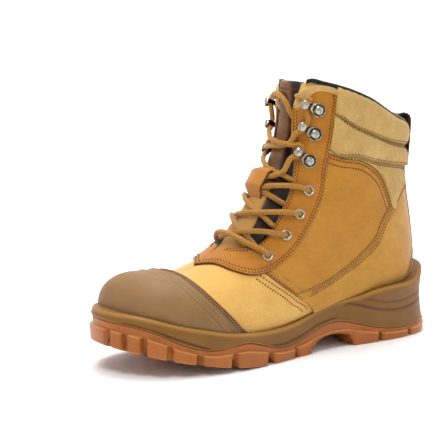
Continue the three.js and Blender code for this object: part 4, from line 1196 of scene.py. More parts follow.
@dataclass(frozen=True)
class LaceCloth:
    """Round braided lace with dark and light flecks, and painted shade between its strands."""

    name: str = "lace_cloth"
    slot: str = "lace_cloth"
    color: str = "C08A30"
    fleck_and_shade: str = "7A4A12"

    def make(self) -> bpy.types.Material:
        """Builds the material."""
        sheet = Sheet(self.name)
        along, around = sheet.attribute("along"), sheet.attribute("around")

        def strands(turns: float) -> bpy.types.NodeSocket:
            """One set of strands that wind around the lace."""
            wind = sheet.math("MULTIPLY", around, turns)
            phase = sheet.math("ADD", sheet.math("MULTIPLY", along, 3.2), wind)
            return sheet.span(sheet.math("SINE", phase), -1, 1)

        left, right = strands(4), strands(-4)
        braid = sheet.math("MULTIPLY", left, right)
        fleck_and_shade = sheet.span(sheet.noise(1.1, 2, 0.6), 0.56, 0.64)
        # Painted shade: the fleck colour darkens the hollows between the strands.
        color = sheet.blend(sheet.span(braid, 0, 0.6, 0.55, 0), shade(self.color), shade(self.fleck_and_shade))
        color = sheet.blend(sheet.math("MULTIPLY", fleck_and_shade, 0.6), color, shade(self.fleck_and_shade))
        relief = sheet.bump(braid, 0.35)
        relief = sheet.bump(sheet.noise(0.3, 2), 0.06, relief)
        return sheet.finish(color, 0.88, relief, Sheen_Weight=0.3, Specular_IOR_Level=0.2)


@dataclass(frozen=True)
class Cloth:
    """Woven cloth for lining, insole and thread."""

    name: str
    slot: str
    color: str
    light: str
    weave: float = 0.9
    depth: float = 0.12
    rough: float = 0.95

    def make(self) -> bpy.types.Material:
        """Builds the material."""
        sheet = Sheet(self.name)
        knots = sheet.cells(self.weave)
        cloud = sheet.noise(6, 3)
        color = sheet.blend(sheet.span(knots, 0.1, 0.7), shade(self.light), shade(self.color))
        color = sheet.blend(sheet.math("MULTIPLY", cloud, 0.25), color, shade(self.color, 0.6))
        relief = sheet.bump(sheet.math("SUBTRACT", 1.0, knots), self.depth)
        return sheet.finish(color, self.rough, relief, Sheen_Weight=0.2, Specular_IOR_Level=0.2)


@dataclass(frozen=True)
class AntiqueMetal:
    """Pewter-plated fittings with tarnish, and painted dark reflections round the rivet and along the
    plate.
    """

    name: str = "antique_metal"
    slot: str = "antique_metal"
    color: str = "C4BCAC"
    dark: str = "241F1A"

    def make(self) -> bpy.types.Material:
        """Builds the material."""
        sheet = Sheet(self.name)
        tarnish = sheet.span(sheet.noise(2.2, 4, 0.65), 0.45, 0.72)
        color = sheet.blend(sheet.math("MULTIPLY", tarnish, 0.8), shade(self.color), shade(self.dark))
        # Painted reflection: the edge value darkens the rivet's foot and the plate round it.
        color = sheet.blend(sheet.span(sheet.attribute("edge"), 0.1, 0.9), color, shade(self.dark, 0.5))
        relief = sheet.bump(sheet.noise(0.7, 3), 0.02)
        rough = sheet.span(tarnish, 0, 1, 0.2, 0.42)
        return sheet.finish(color, rough, relief, Metallic=0.92)


@dataclass
class Wardrobe:
    """All finishes of the boot, each made once."""

    wheat: Nubuck = Nubuck("wheat_nubuck", "nubuck", "DBAE5E", "C48F40", "7A4A1E")
    heel: Nubuck = Nubuck("heel_nubuck", "nubuck", "C08C34", "A46E20", "5E2E10")
    mustard: Nubuck = Nubuck("mustard_nubuck", "dark_nubuck", "BA802A", "9A661E", "5E2E10")
    amber: Nubuck = Nubuck("amber_nubuck", "dark_nubuck", "B37422", "945A18", "562A0E")
    tan: Nubuck = Nubuck("light_tan_nubuck", "pad_leather", "CBA466", "AA8046", "7A4A20")
    strip: Nubuck = Nubuck("strip_nubuck", "nubuck", "BE8C4C", "9A6A34", "6E4220")
    pad: GrainLeather = GrainLeather(
        "pad_leather", "pad_leather", "C8A360", "A98446", "D8BC82", 1.0, 0.2, 0.7
    )
    brown: GrainLeather = GrainLeather(
        "brown_leather", "brown_leather", "80532A", "3A1E0E", "BE9060", 1.2, 0.08, 0.45, 0.15
    )
    cap: Moulded = Moulded("cap_rubber", "cap_rubber", "8C683C", "6E5030", "A88A5E", 0.5, 0.08, 0.6)
    foam: Moulded = Moulded("foam_rubber", "foam_rubber", "7C5010", "643F0E", "B08236", 0.6, 0.05, 0.5)
    gum: Moulded = Moulded("gum_rubber", "gum_rubber", "A65C18", "884612", "CE8C46", 0.9, 0.04, 0.38, 0.1)
    thread: Cloth = Cloth("rust_thread", "brown_leather", "5A2A0E", "7A4018", 0.35, 0.05, 0.7)
    lining: Cloth = Cloth("black_lining", "insole_cloth", "15120F", "2C2722")
    lace: LaceCloth = LaceCloth()
    metal: AntiqueMetal = AntiqueMetal()
    made: dict[str, bpy.types.Material] = field(default_factory=dict)

    def get(self, finish: object) -> bpy.types.Material:
        """The material of a finish."""
        if finish.name not in self.made:
            self.made[finish.name] = finish.make()
        return self.made[finish.name]


@dataclass
class Workshop:
    """What every sub-assembly needs: sizes, form, finishes and a way to make pieces."""

    sizes: Sizes
    form: UpperForm
    wardrobe: Wardrobe

    def piece(
        self, name: str, raw: Raw, *finishes: object, replaces: Sequence[str] = ()
    ) -> bpy.types.Object:
        """Makes a piece of the boot.

        Args:
            name: The piece's name.
            raw: Its mesh in millimetres.
            finishes: Its finishes, the first the main one.
            replaces: CAD nodes it stands for.

        Returns:
            The object.
        """
        mesh = bpy.data.meshes.new(name)
        mesh.from_pydata((raw.points * MILLIMETRE).tolist(), [], raw.faces)
        values = dict(raw.values)
        values.setdefault("edge", np.zeros(len(raw.points)))
        for key, numbers in values.items():
            layer = mesh.attributes.new(key, "FLOAT", "POINT")
            layer.data.foreach_set("value", np.asarray(numbers, np.float32).ravel())
        for finish in finishes:
            mesh.materials.append(self.wardrobe.get(finish))
        if raw.finish:
            mesh.polygons.foreach_set("material_index", raw.finish)
        mesh.polygons.foreach_set("use_smooth", [True] * len(mesh.polygons))
        mesh.update()
        made = bpy.data.objects.new(name, mesh)
        bpy.context.scene.collection.objects.link(made)
        if replaces:
            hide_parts(*replaces)
        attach(made, BODY)
        LOG.info("%s: %d faces", name, len(raw.faces))
        return made

    def sew(
        self, name: str, rows: Sequence[tuple[Array, Array]], style: StitchStyle = StitchStyle()
    ) -> None:
        """Sews rows of stitches as one piece."""
        made = [stitches(line, normals, style) for line, normals in rows]
        self.piece(name, join(made), self.wardrobe.thread)


def row_at(distance: Array, level: float, points: Array, normals: Array, axis: int) -> tuple[Array, Array]:
    """The line on a grid where a distance reaches a level.

    Args:
        distance: Distances over the grid, rising along the axis.
        level: The distance wanted.
        points: Points of the grid.
        normals: Normals of the grid.
        axis: 1 to look along the rows, 0 along the columns.

    Returns:
        Points and normals of the line.
    """
    if axis == 0:
        distance = distance.T
        points, normals = points.transpose(1, 0, 2), normals.transpose(1, 0, 2)
    line, away = [], []
    for d, p, n in zip(distance, points, normals):
        order = np.argsort(d)
        line.append([np.interp(level, d[order], p[order, k]) for k in range(3)])
        away.append([np.interp(level, d[order], n[order, k]) for k in range(3)])
    return np.array(line), unit(np.array(away))


@dataclass
class Upper:
    """The leather shell and the panels sewn on it."""

    shop: Workshop
    cap_thickness: float = 2.6
    eyestay_thickness: float = 2.3
    quarter_thickness: float = 1.3
    counter_thickness: float = 2.3
    backstay_thickness: float = 2.9
    edge_radius: float = 1.1
    collar_start: float = 0.855
    groove: float = 0.28
    vamp_rows_back: tuple[float, ...] = (0.009, 0.021)
    cap_rows: tuple[float, ...] = (2.2, 5.0)
    cap_ribs: tuple[tuple[float, float, float], ...] = ((9.5, 0.9, 1.0), (19.0, 0.8, 0.9))
    facing_rows: tuple[float, ...] = (2.4, 5.2)
    throat_rows: tuple[float, ...] = (2.6, 5.2)
    quarter_rows: tuple[float, ...] = (2.3, 5.0, 9.5)
    counter_rows: tuple[float, ...] = (2.2, 4.7, 7.4)
    backstay_rows: tuple[float, ...] = (2.1, 4.6)
    pad_row_shift: float = 0.006
    roll_rise: float = 2.5

    def build(self) -> None:
        """Builds shell, panels and their stitches."""
        self.shell()
        self.toe_cap()
        self.eyestay()
        for side in Side:
            self.quarter(side)
            self.counter(side)
            self.collar_pad(side)
            self.front_roll(side)
        self.backstay()
        self.collar_edge()

    def shell(self) -> None:
        """The hollow shell, leather outside and lining inside, open at collar and throat."""
        form = self.shop.form
        rows = np.linspace(0.003, 1, 150)
        share = np.linspace(0, 1, 150)
        start = form.gap_turn(rows)
        turn = start[:, None] + (360 - 2 * start[:, None]) * share[None]
        bend = np.abs((turn + 180) % 360 - 180)
        begin = self.collar_start
        lift = np.clip((rows - begin) / (1 - begin), 0, 1)[:, None]
        below = rows[:, None] <= begin
        t = np.where(below, rows[:, None], begin + lift * (form.topline(bend) - begin))
        patch = Patch(form, t, turn)
        edge = np.zeros(t.shape)
        raw = shell(patch.off(0), patch.off(-self.shop.sizes.leather), {"edge": edge})
        self.shop.piece(
            "upper_leather", raw, self.shop.wardrobe.wheat, self.shop.wardrobe.lining, replaces=["upper"]
        )
        self.vamp_rows()

    def vamp_rows(self) -> None:
        """Two rows of stitches in front of the seam between vamp and quarter."""
        form = self.shop.form
        rows = []
        for back in self.vamp_rows_back:
            for side in Side:
                line = route([(t - back, turn) for t, turn in VAMP_SEAM + [(0.485, 100), (0.492, 112)]])
                chart = line(np.linspace(0.02, 1, 90))
                t, turn = chart[:, 0], chart[:, 1] * side.value
                rows.append((form.skin(t, turn, 0.05), form.outward(t, turn)))
        self.shop.sew("vamp_stitches", rows)

    def toe_cap(self) -> None:
        """The moulded cap with two ribs and a sewn band along its rear edge."""
        form = self.shop.form
        rows = np.concatenate([np.linspace(0, 0.9, 90), 0.9 + 0.1 * clustered(26, 0.16, False, True)[1:]])
        turn = np.linspace(-180, 180, 181)
        (edge_t,) = columns([(turn_, t_) for t_, turn_ in CAP_EDGE])
        t = rows[:, None] * edge_t(np.abs(turn))[None]
        t = np.maximum(t, 0.002)
        patch = Patch(form, t, np.broadcast_to(turn, t.shape))
        away = patch.from_last_row
        rise = rolled(away, 1.4)
        fade = smooth((150 - np.abs(patch.turn)) / 60)
        ribs = fade * sum(crest * ridge(away, place, width) for place, crest, width in self.cap_ribs)
        sewn = 0.5 * (smooth((away - 6.2) / 0.8) - 1) * smooth((away - 1.2) / 0.6)
        height = -0.3 + (self.cap_thickness + 0.6) * rise + ribs + sewn
        # Painted shade along the rear lip, a darker sunk sewn band, painted shade in the grooves beside the
        # ribs and a painted highlight on their crests.
        edge = -0.6 * (1 - smooth(away / 0.9)) - 0.3 * smooth((6.4 - away) / 0.8)
        edge = edge - fade * 0.75 * (ridge(away, 8.4, 0.6) + ridge(away, 17.9, 0.6))
        edge = edge + fade * 0.3 * (ridge(away, 9.7, 0.6) + ridge(away, 19.2, 0.6))
        raw = patch.raise_skin(height, edge)
        self.shop.piece("cap_rubber_shell", raw, self.shop.wardrobe.cap, replaces=["toe_cap"])
        face, shown = patch.off(height), (slice(None), slice(20, -20))
        lines = [row_at(away[shown], level, face[shown], patch.normal[shown], 0) for level in self.cap_rows]
        self.shop.sew("cap_stitches", lines)

    def panel(
        self,
        name: str,
        patch: Patch,
        away: Array,
        thickness: float,
        finish: object,
        grooves: Sequence[float] = (),
        replaces: Sequence[str] = (),
    ) -> Array:
        """A sewn-on panel with a rolled edge and grooves under its stitches.

        Args:
            name: The piece's name.
            patch: The panel's patch.
            away: Distances from its free edges.
            thickness: Height over the shell.
            finish: Its finish.
            grooves: Distances from the edge where stitches sink in.
            replaces: CAD nodes it stands for.

        Returns:
            The panel's face.
        """
        height = -0.25 + (thickness + 0.25) * rolled(away, self.edge_radius)
        for level in grooves:
            height = height - self.groove * ridge(away, level, 0.7)
        edge = 1 - smooth((away - 0.1) / 1.3)
        # Painted shade: the colour darkens in the grooves under the stitch rows.
        for level in grooves:
            edge = np.maximum(edge, 0.6 * ridge(away, level, 0.8))
        self.shop.piece(name, patch.raise_skin(height, edge), finish, replaces=replaces)
        return patch.off(height)

    def eyestay(self) -> None:
        """The facings with their lip below the throat, both sides in one."""
        form = self.shop.form
        rows = 1 - clustered(170, 0.008, True, False)[::-1]
        cols = clustered(20, 0.07)
        throat_t = np.linspace(0.4155, 0.87, 40)
        throat = np.stack([throat_t, form.gap_turn(throat_t)], axis=-1)
        throat = np.concatenate([throat, EYESTAY_THROAT])
        halves, lines = [], []
        for side in Side:
            sign = np.array([1, side.value])
            first = np.array(EYESTAY_EDGE) * sign
            last = throat * sign
            top = np.array(EYESTAY_TOP) * sign
            lip = np.array([(0.343, 0), (0.38, 0), (0.4155, float(throat[0, 1]))]) * sign
            patch = Patch.between(form, first, last, lip, top, rows, cols)
            outer, inner = patch.from_first_col, patch.from_last_col
            away = np.minimum(np.minimum(outer, inner), patch.from_last_row)
            height = -0.25 + (self.eyestay_thickness + 0.25) * rolled(away, self.edge_radius)
            for level in self.facing_rows:
                height = height - self.groove * ridge(outer, level, 0.7)
            for level in self.throat_rows:
                height = height - 0.7 * self.groove * ridge(inner, level, 0.7)
            edge = 1 - smooth((away - 0.1) / 0.95)
            halves.append(patch.raise_skin(height, edge, self.shop.sizes.leather - 0.1))
            face = patch.off(height)
            for level in self.facing_rows:
                lines.append(row_at(outer[:-4], level, face[:-4], patch.normal[:-4], 1))
            keep = slice(6, -4)
            for level in self.throat_rows:
                lines.append(row_at(inner[keep], level, face[keep], patch.normal[keep], 1))
        self.shop.piece("eyestay_leather", join(halves), self.shop.wardrobe.amber, replaces=["eyestay"])
        self.shop.sew("eyestay_stitches", lines)

    def quarter(self, side: Side) -> None:
        """The side panel between facing, counter and collar.

        Args:
            side: Which side.
        """
        form, sign = self.shop.form, np.array([1, side.value])
        front = [(t, turn - 3) for t, turn in EYESTAY_EDGE if 0.43 <= t <= 0.8]
        first = np.array([(0.43, 50)] + front[1:-1] + [(0.787, 52)]) * sign
        rear = [(t, turn + 2.5) for t, turn in COUNTER_EDGE if t <= 0.78]
        last = np.array(rear + [(0.797, 119)]) * sign
        start = np.array([(0.43, 50), (0.45, 70), (0.472, 86.5)]) * sign
        end = np.array([(0.787, 52)] + QUARTER_EDGE[1:-1] + [(0.797, 119)]) * sign
        patch = Patch.between(form, first, last, start, end, clustered(90, 0.012), np.linspace(0, 1, 60))
        away = np.minimum(patch.from_first_row, patch.from_last_row)
        face = self.panel(
            f"quarter_leather_{side.tag}", patch, away, self.quarter_thickness,
            self.shop.wardrobe.mustard, self.quarter_rows, [f"quarter_{side.tag}"],
        )
        lines = [row_at(patch.from_last_row, level, face, patch.normal, 0) for level in self.quarter_rows]
        lines.append(row_at(patch.from_first_row, self.quarter_rows[0], face, patch.normal, 0))
        self.shop.sew(f"quarter_stitches_{side.tag}", lines)

    def counter(self, side: Side) -> None:
        """The heel panel with three rows along its edge.

        Args:
            side: Which side.
        """
        form, sign = self.shop.form, np.array([1, side.value])
        rows = np.concatenate([[0.0, 0.004, 0.012], np.linspace(0.025, 1, 110)])
        top, foot = route(COUNTER_EDGE, Patch.METRIC)(rows), route(COUNTER_FOOT, Patch.METRIC)(rows)
        cols = clustered(56, 0.04, True, False)[None, :, None]
        chart = (top[:, None] * (1 - cols) + foot[:, None] * cols) * sign
        patch = Patch(form, chart[..., 0], chart[..., 1])
        away = patch.from_first_col
        face = self.panel(
            f"counter_leather_{side.tag}", patch, away, self.counter_thickness,
            self.shop.wardrobe.heel, self.counter_rows, [f"counter_{side.tag}"],
        )
        sewn = slice(8, None)
        lines = [
            row_at(away[sewn], level, face[sewn], patch.normal[sewn], 1) for level in self.counter_rows
        ]
        self.shop.sew(f"counter_stitches_{side.tag}", lines)

    def backstay(self) -> None:
        """The strip over the back seam."""
        form = self.shop.form
        rows = clustered(90, 0.015, True, False)
        edge_line = route(BACKSTAY_EDGE, Patch.METRIC)(rows)
        share = clustered(26, 0.045)
        turn = edge_line[:, 1:] + (360 - 2 * edge_line[:, 1:]) * share[None]
        t = np.broadcast_to(edge_line[:, :1], turn.shape)
        patch = Patch(form, t, turn)
        away = np.minimum(np.minimum(patch.from_first_col, patch.from_last_col), patch.from_first_row)
        face = self.panel(
            "backstay_leather", patch, away, self.backstay_thickness,
            self.shop.wardrobe.heel, self.backstay_rows, ["backstay"],
        )
        lines = []
        for level in self.backstay_rows:
            lines.append(row_at(patch.from_first_col, level, face, patch.normal, 1))
            lines.append(row_at(patch.from_last_col, level, face, patch.normal, 1))
        self.shop.sew("backstay_stitches", lines)

    def collar_pad(self, side: Side) -> None:
        """The padded collar with its two rolls and the wedge below them.

        Args:
            side: Which side.
        """
        form, sign = self.shop.form, np.array([1, side.value])
        top_turn = np.linspace(62, 180, 40)
        top = np.stack([form.topline(top_turn), top_turn], axis=-1)
        low = [(t - 0.006, turn) for t, turn in QUARTER_EDGE if turn >= 60]
        low += [(t - 0.004, turn + 1.5) for t, turn in COUNTER_EDGE if turn > 117]
        start = np.array([(0.79, 56)] + low)
        first = np.array([(0.79, 56), (0.868, 60), (0.965, 62), tuple(top[0])])
        last = np.array([tuple(start[-1]), (0.93, 180), tuple(top[-1])])
        rows, cols = np.linspace(0, 1, 120), np.linspace(0, 1, 130)
        patch = Patch.between(form, first * sign, last * sign, start * sign, top * sign, rows, cols)
        height = form.pad_height(patch.t, patch.turn)
        bend = np.abs(patch.turn)
        seams = [(patch.t - seam(bend)) * PLACE_LENGTH for seam in (form.upper_seam, form.lower_seam)]
        wave = np.sin(bend * 0.9) * np.sin(patch.t * 95)
        height = height + 0.18 * wave
        # Painted shade in the creases along the pad seams.
        edge = 0.85 * np.maximum(ridge(seams[0], 0, 1.5), ridge(seams[1], 0, 1.5))
        raw = patch.raise_skin(height, edge)
        made = self.shop.piece(
            f"collar_padding_{side.tag}", raw, self.shop.wardrobe.pad, replaces=[f"collar_pad_{side.tag}"]
        )
        turn = np.linspace(66, 152, 120)
        lines = []
        for seam in (form.upper_seam, form.lower_seam):
            for shift in (-self.pad_row_shift, self.pad_row_shift):
                t = seam(turn) + shift
                off = form.pad_height(t, turn) + 0.05
                lines.append((form.skin(t, turn * side.value, off), form.outward(t, turn * side.value)))
        self.shop.sew(f"collar_stitches_{side.tag}", lines, StitchStyle(length=2.2, thread=0.44))

    def front_roll(self, side: Side) -> None:
        """The soft light edge in front of the facing's top and over it.

        Args:
            side: Which side.
        """
        form, sign = self.shop.form, np.array([1, side.value])
        rows = clustered(90, 0.02)
        free, seam = route(FRONT_ROLL_EDGE, Patch.METRIC)(rows), route(FRONT_ROLL_SEAM, Patch.METRIC)(rows)
        cols = clustered(22, 0.08, True, False)[None, :, None]
        chart = (free[:, None] * (1 - cols) + seam[:, None] * cols) * sign
        patch = Patch(form, chart[..., 0], chart[..., 1])
        start = rolled(patch.from_first_row, 6.0)
        height = 0.2 + self.roll_rise * rolled(patch.from_first_col, 3.2) * start
        raw = shell(patch.off(height), patch.off(-2.4), {"edge": np.zeros(height.shape)})
        finishes = (self.shop.wardrobe.tan, self.shop.wardrobe.lining)
        self.shop.piece(f"collar_front_{side.tag}", raw, *finishes)

    def collar_edge(self) -> None:
        """The black lining that rolls over the collar's top edge."""
        form = self.shop.form
        turn = np.linspace(31, 312, 240)
        bend = np.abs((turn + 180) % 360 - 180)
        top = form.topline(bend)
        padded = smooth((bend - 52) / 14)
        inner = -self.shop.sizes.leather - 0.5
        outer = 2.4 + 1.6 * padded
        section = np.linspace(0, np.pi, 12)
        inside = np.full(turn.shape, inner)
        rings = [form.skin(top - depth / PLACE_LENGTH, turn, inside) for depth in (26, 14, 6)]
        middle, half = (inner + outer) / 2, (outer - inner) / 2
        for angle in section:
            off = middle - half * np.cos(angle)
            lift = 2.6 * np.sin(angle) - 0.6
            rings.append(form.skin(top + lift / PLACE_LENGTH, turn, off))
        rings.append(form.skin(top - 1.8 / PLACE_LENGTH, turn, outer - 1.2))
        outer_grid = np.stack(rings)
        centre = form.skin(top - 3 / PLACE_LENGTH, turn, (inner + outer) / 2)
        inner_grid = np.stack([centre * 0.35 + ring * 0.65 for ring in rings])
        raw = shell(outer_grid, inner_grid, {"edge": np.zeros(outer_grid.shape[:2])}, lining=False)
        self.shop.piece("collar_lining_edge", raw, self.shop.wardrobe.lining)


@dataclass
class Tongue:
    """The padded tongue with its lace keeper."""

    shop: Workshop
    thickness: float = 3.5
    lift: float = 1.0
    low: float = 0.4
    high: float = 0.984
    strip_low: float = 0.414
    strip_high: float = 0.6
    keeper_low: float = 0.55
    keeper_high: float = 0.636
    keeper_width: float = 16
    keeper_strap: float = 1.8

    def build(self) -> None:
        """Builds tongue, centre strip and keeper."""
        self.tongue()
        self.strip()
        self.keeper()

    def face(self, t: Array, share: Array) -> Array:
        """Height of the tongue's middle layer over the form.

        Args:
            t: Section places.
            share: Distance from the middle as a share of the throat's half width.

        Returns:
            Heights.
        """
        sizes = self.shop.sizes
        under = -sizes.leather - 4 * sizes.gap - self.thickness / 2
        proud = self.lift - self.thickness / 2
        shown = smooth((0.9 - share) / 0.4) * smooth((t - 0.435) / 0.04)
        return under + (proud - under) * shown

    def tongue(self) -> None:
        """The tongue itself, brown outside and black behind."""
        form = self.shop.form
        share = np.concatenate([np.linspace(0, 0.96, 100), [0.972, 0.982, 0.99, 0.996, 1.0]])
        t = self.low + (self.high - self.low) * share
        corner = np.sqrt(np.maximum(0, 1 - np.clip((share - 0.93) / 0.075, 0, 1) ** 2.4))
        half = (0.52 - 0.1 * share) * self.shop.sizes.ball_width / 2 * (0.62 + 0.38 * corner)
        across = np.linspace(-1, 1, 49)
        y = half[:, None] * across[None]
        grid_t = np.broadcast_to(t[:, None], y.shape)
        turn = form.turn_at(grid_t, y)
        middle = self.face(grid_t, np.abs(y) / form.gap(grid_t))
        rim = np.minimum(rolled((1 - np.abs(across))[None] * half[:, None], 2.2), 1)
        end = rolled((1 - share)[:, None] * 140, 3.0)
        thick = self.thickness / 2 * np.minimum(rim, end)
        puff = 0.9 * smooth((share[:, None] - 0.55) / 0.2) * np.cos(across[None] * 1.35)
        waves = 0.25 * np.sin(share[:, None] * 70) * np.cos(across[None] * 2.2)
        outer = form.skin(grid_t, turn, middle + thick + puff * np.minimum(rim, end) + waves * rim)
        inner = form.skin(grid_t, turn, middle - thick)
        # Burnished rim, and painted shade over the face's outer side for the dark gap beside the facing.
        hem_and_near_side_shade = np.maximum(1 - smooth((1 - np.abs(across)) / 0.06), smooth((across - 0.22) / 0.2))
        edge = np.broadcast_to(hem_and_near_side_shade, y.shape)
        raw = shell(outer, inner, {"edge": edge})
        finishes = (self.shop.wardrobe.brown, self.shop.wardrobe.lining)
        made = self.shop.piece("tongue_leather", raw, *finishes, replaces=["tongue"])
        normals = form.outward(grid_t, turn)
        keep = slice(70, 99)
        lines = [(outer[keep, column], normals[keep, column]) for column in (45, 3)]
        lines.append((outer[97, 6:-6], normals[97, 6:-6]))
        self.shop.sew("tongue_stitches", lines)

    def strip(self) -> None:
        """The padded strip of light nubuck up the tongue's middle, wide at its foot."""
        form = self.shop.form
        low, high = self.strip_low, self.strip_high
        t = low + (high - low) * clustered(60, 0.03)
        across = clustered(24, 0.06) * 2 - 1
        half = np.interp(t, [low, 0.425, 0.445, 0.48, 0.53, high], [9, 15, 18.5, 13.5, 10.5, 8.0])
        centre = np.interp(t, [low, 0.45, 0.5, high], [0, 1.0, 2.5, 2.0])
        y = centre[:, None] + half[:, None] * across[None]
        grid_t = np.broadcast_to(t[:, None], y.shape)
        turn = form.turn_at(grid_t, y)
        inside = (1 - np.abs(across))[None] * half[:, None]
        ends = np.minimum((t - low) * PLACE_LENGTH, (high - t) * PLACE_LENGTH)[:, None]
        rim = rolled(np.minimum(inside, ends + 0.2), 1.6)
        puff = 1.3 * smooth((0.47 - t) / 0.04)[:, None] * (1 - across[None] ** 2)
        crease = 0.35 * ridge(grid_t, 0.452 + 0.004 * across[None], 0.004)
        face = self.lift + (1.1 + puff) * rim - crease * rim - 0.1
        sunk = self.face(grid_t, np.abs(y) / form.gap(grid_t)) + self.thickness / 2 - self.lift
        outer = form.skin(grid_t, turn, face + sunk)
        inner = form.skin(grid_t, turn, sunk - 0.6)
        edge = 0.8 * (1 - smooth(np.minimum(inside, ends + 0.3) / 0.9))
        raw = shell(outer, inner, {"edge": edge}, lining=False)
        self.shop.piece("tongue_strip", raw, self.shop.wardrobe.strip)

    def keeper(self) -> None:
        """The strip of nubuck on the tongue that the lace passes under."""
        form, sizes = self.shop.form, self.shop.sizes
        share = clustered(40, 0.03)
        t = self.keeper_low + (self.keeper_high - self.keeper_low) * share
        rest = self.lift + sizes.gap + self.keeper_strap / 2
        over = self.lift + sizes.gap + sizes.lace * 1.5 + 1.6
        off = rest + (over - rest) * smooth(np.sin(np.pi * share) * 1.25)
        across = clustered(12, 0.07) * 2 - 1
        y = np.broadcast_to(self.keeper_width / 2 * across[None], (len(t), len(across)))
        grid_t = np.broadcast_to(t[:, None], y.shape)
        turn = form.turn_at(grid_t, y)
        rim = rolled((1 - np.abs(across)) * self.keeper_width / 2, 0.8)
        half = self.keeper_strap / 2 * np.maximum(rim, 0.15)[None]
        outer = form.skin(grid_t, turn, off[:, None] + half)
        inner = form.skin(grid_t, turn, off[:, None] - half)
        edge = np.broadcast_to(1 - smooth((1 - np.abs(across)) / 0.12), y.shape)
        raw = shell(outer, inner, {"edge": edge}, lining=False)
        self.shop.piece("keeper_strip", raw, self.shop.wardrobe.amber, replaces=["lace_keeper"])
        normals = form.outward(grid_t, turn)
        lines = [(outer[:, column], normals[:, column]) for column in (3, len(across) - 4)]
        self.shop.sew("keeper_stitches", lines, StitchStyle(length=2.0, thread=0.34))


@dataclass
class PullLoop:
    """The loop over the back of the collar."""

    shop: Workshop
    width: float = 22
    rise: float = 9
    strap: float = 2
    pad: float = 5.4
    backstay: float = 2

    def build(self) -> None:
        """Builds the loop and its stitches."""
        form, sizes = self.shop.form, self.shop.sizes
        outer = self.pad + sizes.gap + self.strap / 2 + 0.3
        inner = -sizes.leather - 2 * sizes.gap - self.strap / 2
        path = np.array([
            (0.915, self.backstay + sizes.gap + self.strap + 0.6, 0),
            (0.945, outer - 0.6, 0),
            (0.97, outer, 0),
            (0.99, outer, 0.35 * self.rise),
            (0.99, outer - 1.2, 0.8 * self.rise),
            (0.99, 0.5 * (outer + inner), self.rise),
            (0.99, inner + 1.2, 0.8 * self.rise),
            (0.99, inner, 0.35 * self.rise),
            (0.97, inner, 0),
            (0.94, inner, 0),
        ])
        line = route(path, np.array([PLACE_LENGTH, 1, 1]))(np.linspace(0, 1, 70))
        across = clustered(16, 0.04) * 2 - 1
        y = np.broadcast_to(self.width / 2 * across[None], (len(line), len(across)))
        t = np.broadcast_to(line[:, :1], y.shape)
        turn = form.turn_at(t, y, back=True)
        off = np.broadcast_to(line[:, 1:2], y.shape)
        middle = form.skin(t, turn, off) + np.array([0, 0, 1]) * line[:, 2][:, None, None]
        along, sideways = np.gradient(middle, axis=0), np.gradient(middle, axis=1)
        normal = unit(np.cross(along, sideways))
        rim = rolled((1 - np.abs(across)) * self.width / 2, 0.9)
        half = self.strap / 2 * np.maximum(rim, 0.15)[None, :, None]
        first, second = middle + normal * half, middle - normal * half
        edge = np.broadcast_to(1 - smooth((1 - np.abs(across)) / 0.09), y.shape)
        raw = shell(first, second, {"edge": edge}, lining=False)
        self.shop.piece("pull_strap", raw, self.shop.wardrobe.brown, replaces=["pull_loop"])
        face, away = (first, normal) if float(normal[20, 10, 0]) < 0 else (second, -normal)
        lines = [(face[3:45, column], away[3:45, column]) for column in (4, len(across) - 5)]
        lines.append((face[5, 4:-4], away[5, 4:-4]))
        self.shop.sew("pull_strap_stitches", lines, StitchStyle(length=2.0, thread=0.36))


